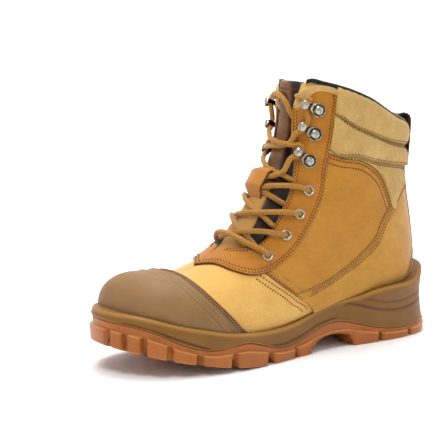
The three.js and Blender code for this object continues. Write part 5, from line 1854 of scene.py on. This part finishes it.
@dataclass
class Fittings:
    """Eyelets and hooks on the facings."""

    shop: Workshop
    eyelet_outer: float = 9.4
    eyelet_hole: float = 4.8
    rivet: float = 8.6
    hook_height: float = 7.4
    off: float = 2.6

    def build(self) -> None:
        """Places every eyelet and hook."""
        for side in Side:
            for i, (t, turn) in enumerate(EYELETS, 1):
                seat = self.shop.form.seat(t, turn * side.value, self.off)
                name = f"eyelet_ring_{side.tag}_{i}"
                nodes = [f"eyelet_{side.tag}_{i}"]
                self.shop.piece(name, placed(self.eyelet(), seat), self.shop.wardrobe.metal, replaces=nodes)
            for i, (t, turn) in enumerate(HOOKS, 1):
                seat = self.shop.form.seat(t, turn * side.value, self.off)
                name = f"hook_metal_{side.tag}_{i}"
                nodes = [f"hook_{side.tag}_{i}"]
                self.shop.piece(name, placed(self.hook(), seat), self.shop.wardrobe.metal, replaces=nodes)

    def eyelet(self) -> Raw:
        """A rolled flange with its sleeve through the leather.

        Returns:
            The eyelet about the origin.
        """
        inner, outer = self.eyelet_hole / 2, self.eyelet_outer / 2
        middle, half = (inner + outer) / 2 + 0.15, (outer - inner) / 2 - 0.15
        arc = np.linspace(np.pi * 1.08, -0.1 * np.pi, 14)
        profile = [(inner, -4.5), (inner - 0.1, -1.0)]
        profile += [(middle + half * math.cos(a), 0.1 + 1.15 * math.sin(a)) for a in arc]
        profile += [(outer - 0.3, -0.25), (inner + 0.45, -0.3), (inner + 0.35, -4.5), (inner, -4.5)]
        return turned_shape(profile, 36).outward()

    def hook(self) -> Raw:
        """A foot plate with a domed rivet and a neck that curls back over the lace.

        Returns:
            The hook about the origin.
        """
        radius = self.rivet / 2
        arc = np.linspace(0, np.pi / 2, 9)
        dome = [(0.001, 0.2), (radius, 0.2), (radius, 0.85)]
        dome += [(radius * 0.92 * math.cos(a), 0.75 + 2.2 * math.sin(a)) for a in arc[:-1]]
        dome.append((0.001, 2.95))
        cap = turned_shape(dome, 28).outward()
        # Painted reflection: the foot of the dome is darkened.
        cap.values["edge"] = np.where(cap.points[:, 2] < 1.2, 1.0, 0.0)
        height = self.hook_height
        centre = [
            (-5.9, 0, 0.3), (-3, 0, 0.35), (0, 0, 0.35), (4.5, 0, 0.35), (12.0, 0, 0.7), (14.8, 0, 2.0),
            (15.6, 0, height - 2.6), (14.8, 0, height - 0.9), (13.0, 0, height - 0.3),
            (10.8, 0, height - 1.0), (9.8, 0, height - 2.0),
        ]
        line = resample(np.array(centre), 0.5)
        top = (line[:, 2] > height - 3.2) & (line[:, 0] > 6)
        places = [-5.9, -5.2, -4, -2, 0, 2, 4, 6, 9, 15]
        plate = np.interp(line[:, 0], places, [0.9, 2.9, 4.4, 5.7, 6.1, 5.7, 4.5, 3.1, 2.2, 2.1])
        curl = np.interp(line[:, 0], [9.8, 10.8, 12.8, 14.5, 15.6], [2.5, 3.5, 4.0, 3.4, 2.4])
        widths = np.where(top, curl, plate)
        thick = np.where(top, np.interp(line[:, 0], [9.8, 12.0, 15.6], [0.9, 1.25, 0.8]), 0.5)
        tangent = unit(np.gradient(line, axis=0))
        across = np.array([0.0, 1.0, 0.0])
        normal = unit(np.cross(tangent, across))
        angle = np.arange(14) / 14 * 2 * np.pi
        wide, thin = np.cos(angle), np.sin(angle)
        wide = np.sign(wide) * np.abs(wide) ** 0.6
        ring = (
            across[None, None] * wide[None, :, None] * widths[:, None, None]
            + normal[:, None] * thin[None, :, None] * thick[:, None, None]
        )
        points = line[:, None] + ring
        faces = grid_faces(len(line), 14, wrap=True)
        faces.append(tuple(range(14))[::-1])
        faces.append(tuple((len(line) - 1) * 14 + j for j in range(14)))
        middle = np.linalg.norm(points[..., :2], axis=-1)
        # Painted reflection: the plate darkened in a ring round the rivet and beyond 6 mm from it, with the
        # neck's foot.
        painted_reflection = np.maximum(ridge(middle, 4.6, 0.8), smooth((middle - 6.2) / 1.5))
        dark = np.where(top[:, None], 0.0, painted_reflection)
        neck = Raw(points.reshape(-1, 3), faces, {"edge": dark.ravel()}).outward()
        return join([cap, neck])


@dataclass
class Lace:
    """One lace from hook to hook through all the eyelets."""

    shop: Workshop
    facing: float = 2.5

    @property
    def on_facing(self) -> float:
        """Height of the lace's middle over the form where it lies on a facing."""
        return self.facing + self.shop.sizes.lace / 2 + 0.1

    def build(self) -> None:
        """Builds the lace and its knotless ends."""
        start, end = self.strand(1), self.strand(-1)
        points = np.array(start[::-1] + self.bar() + end)
        line = resample(points, 0.9)
        nodes = ["lace_bar_1", "lace_run_outer", "lace_run_inner"]
        nodes += [f"lace_crossing_{i}" for i in range(1, 6)]
        raw = tube(line, self.shop.sizes.lace / 2, 14)
        self.shop.piece("lace_cord", raw, self.shop.wardrobe.lace, replaces=nodes)

    def spot(self, t: float, turn: float, off: float) -> Array:
        """A point over the upper."""
        return self.shop.form.skin(t, turn, off)

    def bar(self) -> list[Array]:
        """The straight stretch over the lowest pair of eyelets.

        Returns:
            Points from the outer to the inner side.
        """
        t, turn = EYELETS[0]
        high = self.on_facing
        chart = [
            (t - 0.004, turn - 5, high), (t - 0.016, 30, high + 0.8), (t - 0.02, 12, high + 1.6),
            (t - 0.018, -8, high + 1.2), (t - 0.012, -26, high + 0.8), (t - 0.004, 5 - turn, high),
        ]
        return [self.spot(*row) for row in chart]

    def dive(self, t: float, turn: float, side: int) -> list[Array]:
        """Down through an eyelet and back under the facing.

        Args:
            t: Section place.
            turn: Turn of the eyelet.
            side: Sign of its side.

        Returns:
            Points from outside to inside.
        """
        path = [(0.8, 2.2), (0, -1.0), (4, -4.2), (10, -4.2)]
        return [self.spot(t, side * (turn - back), off) for back, off in path]

    def around_hook(self, index: int, side: int, climbs: bool) -> list[Array]:
        """Through the mouth of a hook, from below it to above it.

        Args:
            index: Which hook, from the bottom.
            side: Sign of its side.
            climbs: Whether the lace goes on straight up and not back over the tongue.

        Returns:
            The points.
        """
        t, turn = HOOKS[index]
        seat = self.shop.form.seat(t, side * turn, self.facing)
        enter, leave = (10.6 if index == 2 else 13.6), (10.6 if climbs else 14.0)
        path = [(enter, -5.6, 3.0), (10.8, -2.2, 2.9), (10.6, 1.2, 2.9), (leave, 5.6, 3.2)]
        return [seat.at(*place) for place in path]

    def strand(self, side: int) -> list[Array]:
        """One half of the lace from the lowest eyelet to its end.

        Args:
            side: Sign of the side it starts on.

        Returns:
            The points.
        """
        crossings, end = (FIRST_STRAND, FIRST_END) if side > 0 else (SECOND_STRAND, SECOND_END)
        points = self.dive(*EYELETS[0], side)
        here = side
        for number, crossing in enumerate(crossings):
            here = -here
            points += [self.spot(*row) for row in crossing]
            if number < 3:
                points += self.dive(*EYELETS[number + 1], here)
            else:
                points += self.around_hook(number - 3, here, number == 4)
        points += self.around_hook(2, here, True)[1:]
        points += [self.spot(*row) for row in end]
        return points


class SoleForm:
    """Outline and heights of the sole."""

    def __init__(self, shop: Workshop, count: int) -> None:
        """Traces the outline.

        Args:
            shop: Sizes and form.
            count: Points along each side.
        """
        self.sizes, self.form, self.count = shop.sizes, shop.form, count
        (self.parting,) = columns(PARTING)
        (self.rim,) = columns(RIM)
        (self.arch,) = columns(ARCH)
        self.line = self.trace()
        before, after = np.roll(self.line, 1, axis=0), np.roll(self.line, -1, axis=0)
        tangent = after - before
        self.normal = unit(np.stack([-tangent[:, 1], tangent[:, 0]], axis=-1))
        steps = np.linalg.norm(np.diff(self.line, axis=0), axis=1)
        self.length = np.concatenate([[0], np.cumsum(steps)])

    def trace(self) -> Array:
        """The outline, up the outer side to the toe and back along the inner side.

        Returns:
            Points in plan.
        """
        scale = np.array([self.sizes.outsole_length, self.sizes.sole_half_width])
        rows = np.array(OUTLINE) * scale
        total = len(rows)
        fine = []
        for i in range(total):
            p0, p1, p2, p3 = (rows[(i + k) % total] for k in (-1, 0, 1, 2))
            d0, d1, d2 = (math.sqrt(np.linalg.norm(b - a)) for a, b in ((p0, p1), (p1, p2), (p2, p3)))
            m1 = ((p1 - p0) / d0 - (p2 - p0) / (d0 + d1) + (p2 - p1) / d1) * d1
            m2 = ((p2 - p1) / d1 - (p3 - p1) / (d1 + d2) + (p3 - p2) / d2) * d1
            s = np.linspace(0, 1, 40, endpoint=False)[:, None]
            fine.append(
                p1 * (1 + 2 * s) * (1 - s) ** 2 + p2 * s * s * (3 - 2 * s)
                + m1 * s * (1 - s) ** 2 + m2 * s * s * (s - 1)
            )
        loop = np.concatenate(fine)
        tip = int(np.argmax(loop[:, 0]))
        sides = []
        for part in (loop[: tip + 1], np.concatenate([loop[tip:], loop[:1]])):
            length = np.concatenate([[0], np.cumsum(np.linalg.norm(np.diff(part, axis=0), axis=1))])
            want = np.arange(self.count) / self.count * length[-1]
            sides.append(np.stack([np.interp(want, length, part[:, k]) for k in range(2)], axis=-1))
        return np.concatenate(sides)

    def ring(self, inset: Array | float, height: Array) -> Array:
        """One ring of the sole.

        Args:
            inset: Distances in from the outline.
            height: Heights.

        Returns:
            Points around the ring.
        """
        inset = np.broadcast_to(np.asarray(inset, float), (len(self.line),))
        plan = self.line - self.normal * inset[:, None]
        return np.column_stack([plan, np.broadcast_to(height, (len(self.line),))])

    @property
    def x(self) -> Array:
        """Place along the boot of each outline point."""
        return self.line[:, 0]

    def parting_height(self, x: Array) -> Array:
        """Height of the line between outsole and midsole over the ground line."""
        return self.parting(x / self.sizes.outsole_length) * self.sizes.outsole_wall

    def arch_rise(self, x: Array) -> Array:
        """Height of the hollow under the arch, zero before and behind it."""
        place = x / self.sizes.outsole_length
        in_arch = (place > ARCH[0][0]) & (place < ARCH[-1][0])
        return np.where(in_arch, self.arch(place), 0) * self.sizes.arch_height

    def rim_top(self, x: Array) -> Array:
        """Height of the midsole's rim."""
        return self.form.spring(x) + self.rim(x / self.sizes.outsole_length) * self.sizes.rim_height

    def ladder(self, first: int) -> list[tuple[int, ...]]:
        """Faces that close a ring between its two sides.

        Args:
            first: Index of the ring's first point.

        Returns:
            The faces.
        """
        total = 2 * self.count
        faces: list[tuple[int, ...]] = []
        for j in range(self.count):
            a, b = first + j, first + j + 1
            c, d = first + (total - j) % total, first + total - j - 1
            face = tuple(dict.fromkeys((a, c, d, b)))
            if len(face) > 2:
                faces.append(face)
        return faces


class RingStack:
    """Rings of the sole from the first to the last, with their painted highlight and shade values."""

    def __init__(self, sole: SoleForm) -> None:
        """Starts without rings."""
        self.sole = sole
        self.rings: list[Array] = []
        self.edges: list[Array] = []

    def add(self, inset: Array | float, height: Array, edge: Array | float = 0.0) -> None:
        """Adds one ring and its signed painted light value: above zero a painted highlight, below zero
        painted shade.
        """
        self.rings.append(self.sole.ring(inset, height))
        self.edges.append(np.broadcast_to(edge, self.sole.x.shape))

    def wall(self) -> Raw:
        """The open side through all rings."""
        faces = grid_faces(len(self.rings), len(self.sole.x), wrap=True)
        return Raw(np.concatenate(self.rings), faces, {"edge": np.concatenate(self.edges)})


@dataclass
class Sole:
    """Midsole, outsole and insole."""

    shop: Workshop
    steps: int = 330
    wall_thickness: float = 5
    lug_round: float = 1.3
    fade: float = 1.4
    insole_steps: int = 120
    insole_inset: float = 13
    insole_thickness: float = 3

    def build(self) -> None:
        """Builds the parts of the sole."""
        form = SoleForm(self.shop, self.steps)
        self.midsole(form)
        self.outsole(form)
        self.insole()

    def groove_depth(self, x: Array, z: Array) -> Array:
        """Depth of the moulded lines in the midsole's side.

        Args:
            x: Places along the sole.
            z: Heights over the ground line.

        Returns:
            Depths.
        """
        place = x / self.shop.sizes.outsole_length
        depth = np.zeros(np.broadcast(x, z).shape)
        for rows, deep in MIDSOLE_LINES:
            (height,) = columns(rows)
            ends = smooth((place - rows[0][0]) / 0.03 + 1) * smooth((rows[-1][0] - place) / 0.03 + 1)
            depth = depth + deep * ridge(z, height(place), 0.95) * np.clip(ends, 0, 1)
        return depth

    def midsole(self, sole: SoleForm) -> None:
        """The foam midsole with its chamfered rim and moulded lines.

        Args:
            sole: Outline and heights.
        """
        x = sole.x
        sizes = self.shop.sizes
        low = sole.form.ground(x) + sole.parting_height(x) + sizes.gap
        top = sole.rim_top(x)
        heel = smooth((0.14 - x / sizes.outsole_length) / 0.12)
        stack = RingStack(sole)
        stack.add(sizes.lug_step + self.wall_thickness, low)
        stack.add(2.9, low)
        # Painted highlight along the lip over the parting.
        stack.add(2.2, low + 0.15, 0.6)
        stack.add(1.95, low + 0.6, 0.5)
        wall = np.linspace(0, 1, 34)
        start, stop = low + 1.1, top - 4.2
        for share in wall:
            z = start + share * (stop - start)
            hollow = 2.2 * heel * np.sin(np.pi * np.clip(share, 0, 1)) ** 0.8
            lean = 1.9 - 0.5 * np.sin(np.pi * share)
            depth = self.groove_depth(x, z - sole.form.spring(x))
            # Painted shade in the moulded lines, by their depth.
            stack.add(lean + hollow + depth, z, -0.7 * np.clip(depth, 0, 1) ** 1.5)
        for angle in np.linspace(0.15, 1, 7) * np.pi / 2:
            inset = 1.9 + 2.9 * (1 - math.cos(angle))
            # Painted highlight on the rounded rim.
            stack.add(inset, top - 4.2 + 4.2 * math.sin(angle), 0.55 * math.sin(2 * angle) ** 2)
        stack.add(7, top - 0.15)
        stack.add(20, top - 1.5)
        raw = stack.wall()
        raw.faces += sole.ladder(0) + sole.ladder((len(stack.rings) - 1) * len(x))
        self.shop.piece("midsole_foam", raw.outward(), self.shop.wardrobe.foam, replaces=["midsole"])

    def within(self, value: Array, start: float, end: float) -> Array:
        """One between two places, with short slopes."""
        return smooth((value - start) / self.fade + 0.5) * smooth((end - value) / self.fade + 0.5)

    def lug_share(self, plan: Array) -> Array:
        """Where the side of the sole is a lug and where it is a notch.

        Args:
            plan: Points in plan.

        Returns:
            1 on a lug and 0 in a notch, with short slopes between them.
        """
        sizes = self.shop.sizes
        x, y = plan[..., 0], plan[..., 1]
        lug = np.zeros(x.shape)

        length, half = sizes.outsole_length, sizes.sole_half_width
        for start, end in SIDE_LUGS:
            lug = np.maximum(lug, self.within(x, start * length, end * length))
        toe = smooth((x - 0.812 * length) / 2)
        for start, end in TOE_LUGS:
            lug = np.maximum(lug, toe * self.within(y, start * half, end * half))
        heel = smooth((-0.108 * length - x) / 2)
        for start, end in HEEL_LUGS:
            lug = np.maximum(lug, heel * self.within(y, start * half, end * half))
        return lug

    def outsole(self, sole: SoleForm) -> None:
        """The lugged rubber outsole.

        Args:
            sole: Outline and heights.
        """
        sizes = self.shop.sizes
        x = sole.x
        lug = self.lug_share(sole.line)
        arch = sole.arch_rise(x)
        lug = lug * (1 - smooth(arch / 2))
        ground = sole.form.ground(x)
        parting = ground + sole.parting_height(x)
        lug_top = ground + 0.68 * sole.parting_height(x)
        lug_top = np.maximum(lug_top, ground + arch + 1.2)
        bottom = ground + np.maximum(arch, (1 - lug) * sizes.lug_depth)
        deep = (1 - lug) * sizes.notch_depth
        deep = np.where(arch > 1, np.minimum(deep, 1.5), deep)
        stack = RingStack(sole)
        rounded = self.lug_round
        for angle in np.linspace(0, np.pi / 2, 5):
            inset = deep + 0.6 + rounded * (1 - math.sin(angle))
            # Painted highlight on the lug's lower bevel.
            stack.add(inset, bottom + rounded * (1 - math.cos(angle)), 0.5 * math.sin(2 * angle) * lug)
        for share in np.linspace(0.12, 1, 6):
            low, high = bottom + rounded, lug_top - rounded
            stack.add(deep + 0.6 * (1 - share) + 0.05, low + share * (high - low))
        for angle in np.linspace(0.25, 1, 4) * np.pi / 2:
            over = sizes.lug_step * np.where(deep > sizes.lug_step, 1.0, 1 - math.cos(angle))
            inset = np.where(
                deep > sizes.lug_step,
                deep + (sizes.lug_step - deep) * (1 - math.cos(angle)),
                deep + (over - deep) * (1 - math.cos(angle)),
            )
            # Painted highlight on the lug's upper bevel.
            stack.add(inset, lug_top - rounded + rounded * 1.3 * math.sin(angle), 0.6 * math.sin(2 * angle))
        wall_low = lug_top + 0.5
        for share in np.linspace(0.15, 0.94, 6):
            stack.add(sizes.lug_step, wall_low + share * (parting - wall_low))
        # Painted highlight along the top edge of the wall.
        stack.add(sizes.lug_step + 0.35, parting - 0.25, 0.8)
        stack.add(sizes.lug_step + 1.0, parting, 0.8)
        stack.add(sizes.lug_step + self.wall_thickness, parting)
        lid = Raw(stack.rings[-1], sole.ladder(0), {"edge": np.zeros(len(x))})
        raw = join([stack.wall(), self.tread(sole, stack.rings[0]), lid.turned()]).outward()
        self.shop.piece("outsole_gum", raw, self.shop.wardrobe.gum, replaces=["outsole"])

    def tread(self, sole: SoleForm, border: Array) -> Raw:
        """The underside between the two sides of its border.

        Args:
            sole: Outline and heights.
            border: The border ring.

        Returns:
            The underside.
        """
        sizes = self.shop.sizes
        half = sole.count
        outer = border[: half + 1]
        inner = np.concatenate([border[:1], border[:half - 1:-1]])[: half + 1]
        share = np.concatenate([[0, 0.004, 0.012], np.linspace(0.025, 0.975, 110), [0.988, 0.996, 1]])
        grid = outer[:, None] * (1 - share)[None, :, None] + inner[:, None] * share[None, :, None]
        x, y = grid[..., 0], grid[..., 1]
        length, wide = sizes.outsole_length, sizes.sole_half_width
        edge_y = np.where(y >= 0, outer[:, 1:2], inner[:, 1:2])
        from_edge = np.abs(edge_y - y)
        skew = 0.25 * np.minimum(from_edge, 0.32 * wide)
        side = self.lug_share(np.stack([x - skew, y], axis=-1))
        band = smooth((0.32 * wide - from_edge) / self.fade + 0.5)
        ends = np.maximum(smooth((x - 0.8 * length) / 2), smooth((-0.07 * length - x) / 2))
        lug = side * np.maximum(band, ends)

        for start, end, near, far in CENTRE_LUGS:
            block = self.within(x, start * length, end * length) * self.within(y, near * wide, far * wide)
            lug = np.maximum(lug, block)
        arch = sole.arch_rise(x)
        lug = lug * (1 - smooth(arch / 2))
        height = sole.form.ground(x) + np.maximum(arch, (1 - lug) * sizes.lug_depth)
        fixed = np.minimum(share, 1 - share)[None] > 0.003
        grid[..., 2] = np.where(fixed, height, grid[..., 2])
        # Painted highlight on the slopes between lugs and notches.
        edge = 0.5 * lug * (1 - lug) * 4
        rows, cols = grid.shape[:2]
        raw = Raw(grid.reshape(-1, 3), grid_faces(rows, cols), {"edge": edge.ravel()})
        normal = np.cross(grid[40, 60] - grid[41, 60], grid[40, 61] - grid[40, 60])
        return raw if normal[2] > 0 else raw.turned()

    def insole(self) -> None:
        """A smooth cloth bed inside the shell."""
        form = self.shop.form
        sole = SoleForm(self.shop, self.insole_steps)
        half = sole.count
        ring = sole.ring(self.insole_inset, 0.0)
        outer, inner = ring[: half + 1], ring[: half - 1 : -1]
        x = np.linspace(-24, 236, 100)
        left = np.interp(x, *np.array(sorted(map(tuple, outer[:, :2]))).T)
        right = np.interp(x, *np.array(sorted(map(tuple, inner[:, :2]))).T)
        ends = np.sqrt(np.clip(np.minimum(x + 24.5, 236.5 - x) / 26, 0, 1))
        middle, reach = (left + right) / 2, (left - right) / 2 * ends
        share = np.linspace(-1, 1, 41)
        rows = np.linspace(0.02, 0.69, 90)
        back = form.point(rows, 180)
        order = np.argsort(back[:, 0])
        z = np.interp(x, back[order, 0], back[order, 2])
        y = middle[:, None] + reach[:, None] * share[None]
        z = z[:, None] + 1.2 * share[None] ** 4 + 6.0
        top = np.stack([np.broadcast_to(x[:, None], y.shape), y, z], axis=-1)
        low = top - np.array([0, 0, self.insole_thickness])
        raw = shell(top, low, {"edge": np.zeros(y.shape)}, lining=False)
        self.shop.piece("insole_bed", raw, self.shop.wardrobe.lining, replaces=["insole"])


@dataclass(frozen=True)
class Lamp:
    """A square soft light: its place and aim in metres, side and power."""

    name: str
    place: tuple[float, float, float]
    aim: tuple[float, float, float]
    size: float
    power: float


@dataclass
class Studio:
    """Floor, lights and camera."""

    eye: tuple[float, float, float] = (740.9, 901.1, 262.0)
    aim: tuple[float, float, float] = (110.0, 0.0, 110.0)
    image: float = 440
    focal_pixels: float = 1330
    centre_pixel: tuple[float, float] = (275, 216)
    sensor: float = 36
    floor_reach: float = 4.0
    wall_rise: float = 2.6
    wall_bend: float = 1.2
    surround: float = 0.47
    lamps: tuple[Lamp, ...] = (
        Lamp("key_light", (0.75, 0.35, 1.3), (0.1, 0, 0.08), 0.5, 9),
        Lamp("fill_light", (-0.7, 1.1, 0.7), (0.1, 0, 0.08), 0.9, 2),
        Lamp("top_light", (0.0, -0.3, 1.5), (0.1, 0, 0.08), 0.9, 17),
        Lamp("wall_light", (-0.9, -1.1, 2.3), (-2.7, -3.2, 0.3), 2.4, 125),
    )

    def build(self) -> None:
        """Sets up the studio."""
        self.floor()
        self.lights()
        self.camera()

    def floor(self) -> None:
        """A pale round floor that curves up into a wall far behind the boot."""
        reach, bend = self.floor_reach, self.wall_bend
        arc = np.linspace(0, np.pi / 2, 12)
        profile = [(0.001, 0.0), (1.5, 0.0)]
        profile += [(reach - bend + bend * math.sin(a), bend - bend * math.cos(a)) for a in arc]
        raw = turned_shape(profile + [(reach, self.wall_rise)], 96)
        mesh = bpy.data.meshes.new("studio_floor")
        mesh.from_pydata(raw.points.tolist(), [], [face[::-1] for face in raw.faces])
        mesh.polygons.foreach_set("use_smooth", [True] * len(mesh.polygons))
        sheet = Sheet("studio_paper")
        tone = sheet.span(sheet.noise(900, 1), 0.3, 0.7, 0.0, 1.0)
        color = sheet.blend(tone, shade("F7F7F7"), shade("FAFAFA"))
        mesh.materials.append(sheet.finish(color, 0.9, Specular_IOR_Level=0.1))
        made = bpy.data.objects.new("studio_floor", mesh)
        bpy.context.scene.collection.objects.link(made)

    def lights(self) -> None:
        """Large soft lights and a pale surround."""
        world = bpy.data.worlds.new("studio_air")
        world.use_nodes = True
        surround = world.node_tree.nodes["Background"]
        surround.inputs["Color"].default_value = (1, 1, 1, 1)
        surround.inputs["Strength"].default_value = self.surround
        bpy.context.scene.world = world
        for lamp in self.lamps:
            data = bpy.data.lights.new(lamp.name, "AREA")
            data.shape = "SQUARE"
            data.size = lamp.size
            data.energy = lamp.power
            made = bpy.data.objects.new(lamp.name, data)
            made.location = lamp.place
            direction = Vector(lamp.aim) - Vector(lamp.place)
            made.rotation_euler = direction.to_track_quat("-Z", "Y").to_euler()
            bpy.context.scene.collection.objects.link(made)

    def camera(self) -> None:
        """The camera at the picture's angle."""
        data = bpy.data.cameras.new("camera")
        data.sensor_width = self.sensor
        data.lens = self.sensor * self.focal_pixels / self.image
        data.shift_x = -(self.centre_pixel[0] - self.image / 2) / self.image
        data.shift_y = (self.centre_pixel[1] - self.image / 2) / self.image
        eye, aim = Vector(self.eye) * MILLIMETRE, Vector(self.aim) * MILLIMETRE
        made = bpy.data.objects.new("camera", data)
        made.location = eye
        made.rotation_euler = (aim - eye).to_track_quat("-Z", "Y").to_euler()
        bpy.context.scene.collection.objects.link(made)
        bpy.context.scene.camera = made
        bpy.context.scene.view_settings.view_transform = "Standard"


def main() -> None:
    """Builds the boot around its solids."""
    logging.basicConfig(level=logging.INFO, format="%(name)s: %(message)s")
    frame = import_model()
    LOG.info("the frame has %d nodes", len(frame["nodes"]))
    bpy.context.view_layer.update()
    sizes = Sizes()
    shop = Workshop(sizes, UpperForm(sizes), Wardrobe())
    boot = (Upper(shop), Tongue(shop), PullLoop(shop), Fittings(shop), Lace(shop), Sole(shop))
    for assembly in (*boot, Studio()):
        assembly.build()
        LOG.info("%s done", type(assembly).__name__)
    bpy.context.view_layer.update()


if __name__ == "__main__":
    main()
